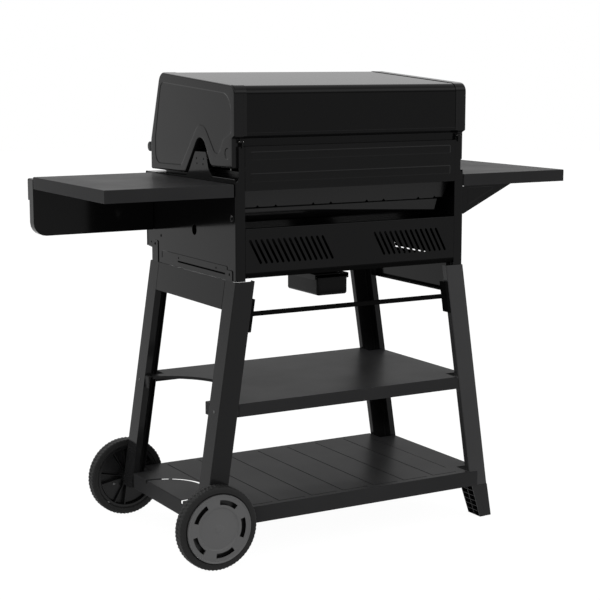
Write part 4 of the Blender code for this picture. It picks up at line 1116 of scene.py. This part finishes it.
def make_hub(centre, end, name):
    """The moulded wheel: a rim, a boss, a closed web with raised sector pads, ribs and a screw inside."""
    bm = bmesh.new()
    out = (0, end, 0)
    rim = [
        (0.0735, -0.011), (0.0741, -0.0122), (0.0801, -0.0122), (0.0803, -0.0118), (0.0803, 0.0124),
        (0.0799, 0.0128), (0.0757, 0.0128), (0.0747, 0.0118), (0.0735, 0.006), (0.0725, 0.0055),
        (0.015, 0.0055), (0.015, 0.0022), (0.0725, 0.0022),
    ]
    turned(bm, rim, centre, out, 96, closed=True)
    boss = [(0.0055, -0.021), (0.0145, -0.021), (0.015, -0.0205), (0.0158, 0.0058), (0.0055, 0.0058)]
    turned(bm, boss, centre, out, 48, closed=True)
    for k in range(5):
        middle = radians(72 * k + 180)
        gap = radians(22)
        sector(bm, centre, end, (0.0285, 0.07), (middle - gap, middle + gap), (-0.003, 0.003))
        for turn in (middle - gap - radians(3), middle + gap + radians(3)):
            half = 0.0009 / 0.045
            sector(bm, centre, end, (0.015, 0.0728), (turn - half, turn + half), (-0.0105, 0.003), steps=1)
    put(f"wheel_{name}_moulding", bm, PLASTIC, f"{name}_wheel", [f"wheel_hub_{name}"], sharp=35.0)
    bm = bmesh.new()
    screw(bm, polar(centre, end, 0.038, radians(-26), -0.0029), (0, -end, 0), 0.004)
    put(f"wheel_{name}_screw", bm, ZINC, f"{name}_wheel")


def make_hubcap(centre, end, name):
    """The pressed cover: a rolled rim, a flat ring with five curved slots and a dished middle."""
    profile = [
        (0, 0.0182), (0.006, 0.0181), (0.0088, 0.0178), (0.0104, 0.017), (0.0116, 0.0163), (0.028, 0.0151),
        (0.042, 0.0141), (0.047, 0.0138), (0.0487, 0.0146), (0.0503, 0.0162), (0.052, 0.017),
        (0.0745, 0.0173), (0.0762, 0.0178), (0.0775, 0.0187), (0.0786, 0.0193), (0.0795, 0.0194),
        (0.0802, 0.0188), (0.0805, 0.0178), (0.0805, 0.0142), (0.0798, 0.0138), (0.0788, 0.0144),
        (0.0778, 0.0156), (0.0522, 0.0154), (0.0502, 0.013), (0, 0.0128),
    ]
    bm = bmesh.new()
    turned(bm, profile, centre, (0, end, 0), 96)
    cutter = bmesh.new()
    half = radians(21)
    for k in range(5):
        middle = radians(72 * k + 184.6)
        sector(cutter, centre, end, (0.0567, 0.068), (middle - half, middle + half), (0.008, 0.028), steps=10)
    bm = carve("hubcap", bm, cutter)
    soften(bm, 0.0005, 2, 60.0)
    put(f"hubcap_{name}_cover", bm, HUBCAP, f"{name}_wheel", [f"hubcap_{name}"], sharp=35.0)


# --- grease parts

def make_grease_parts():
    """The catch box with rounded corners, and the folded rails that hold it."""
    bm = bmesh.new()
    corners = square((-0.0425, -0.017), (0.0425, 0.135), 0.008)
    base, rim, top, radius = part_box("grease_box")[0].z, 0.631, 0.634, 0.006
    turns = [radians(90 * k / 5) for k in range(6)]
    levels = [(radius * (1 - sin(t)) + 1e-6, base + radius * (1 - cos(t))) for t in turns]
    levels += [
        (0, rim), (-0.0026, rim), (-0.003, rim + 0.0005), (-0.003, top - 0.0005), (-0.0026, top),
        (0.0015, top), (0.0015, base + 0.006), (0.005, base + 0.0016),
    ]
    tower(bm, "XY", stepped(corners, levels))
    put("catch_box_tray", bm, CATCH_ENAMEL, "catch_box", ["grease_box"])
    softened("grease_box_holder", "catch_box_rails", POWDER, 0.0004, 2, 40.0)


# --- scene

def dress_frame():
    """The procedural finish of its slot on every CAD node that still shows."""
    looks = {part["node"]: part["material_slot"] for part in frame["record"]["subparts"]}
    for name, node in frame["nodes"].items():
        if node.hide_render:
            continue
        node.data.materials.clear()
        node.data.materials.append(SLOTS[looks[name]])


def make_stage():
    """A wide pale floor, the camera, and a white studio round them whose brightness varies with height."""
    bm = bmesh.new()
    turned(bm, [(0, -0.0002), (16.0, -0.0002)], (0, 0, 0), (0, 0, 1), 96)
    mesh = bpy.data.meshes.new("floor")
    bm.to_mesh(mesh)
    bm.free()
    floor = linked("floor", mesh)
    material = bpy.data.materials.new("pale_floor")
    material.use_nodes = True
    shader = material.node_tree.nodes["Principled BSDF"]
    set_inputs(shader, Base_Color=(0.05, 0.05, 0.05, 1.0), Roughness=0.9, Specular_IOR_Level=0.0)
    set_inputs(shader, Emission_Color=(1.0, 1.0, 1.0, 1.0), Emission_Strength=0.97)
    mesh.materials.append(material)

    world = bpy.data.worlds.new("studio")
    world.use_nodes = True
    tree = world.node_tree
    backdrop = tree.nodes["Background"]
    set_inputs(backdrop, Strength=1.0)
    place = add_node(tree, "ShaderNodeTexCoord")
    parts = add_node(tree, "ShaderNodeSeparateXYZ")
    sky = add_node(tree, "ShaderNodeValToRGB")
    connect(tree, place, "Generated", parts, "Vector")
    connect(tree, parts, "Z", sky, "Fac")
    connect(tree, sky, "Color", backdrop, "Color")
    levels = (
        (0, 1.0), (0.055, 1.0), (0.09, 0.55), (0.15, 0.6), (0.19, 0.45), (0.29, 0.52), (0.35, 1.5),
        (0.42, 2.6), (0.62, 2.6), (0.72, 1.2),
    )
    ramp = sky.color_ramp.elements
    while len(ramp) < len(levels):
        ramp.new(0.5)
    for stop, (height, level) in zip(ramp, levels):
        stop.position = height
        stop.color = (level, level, level, 1.0)
    bpy.context.scene.world = world

    camera = bpy.data.cameras.new("camera")
    camera.lens = 91.67
    camera.sensor_width = 36.0
    camera.clip_end = 100.0
    eye = linked("camera", camera)
    azimuth, elevation, distance = radians(149.95), radians(8.97), 3.817
    back = Vector((sin(azimuth) * cos(elevation), -cos(azimuth) * cos(elevation), sin(elevation)))
    eye.location = Vector((0.014, 0, 0.56)) + back * distance
    eye.rotation_euler = back.to_track_quat("Z", "Y").to_euler()
    bpy.context.scene.camera = eye
    bpy.context.scene.view_settings.view_transform = "Standard"


make_lid_caps()
make_lid_shroud()
make_lid_fittings()
make_side_panels()
make_rear_panels()
make_firebox()
make_cooking_parts()
make_control_panel()
make_knobs()
make_side_shelves()
make_legs()
make_feet()
make_aprons()
make_mid_shelf()
make_low_shelf()
make_wheels()
make_grease_parts()
dress_frame()
make_stage()

bpy.context.view_layer.update()
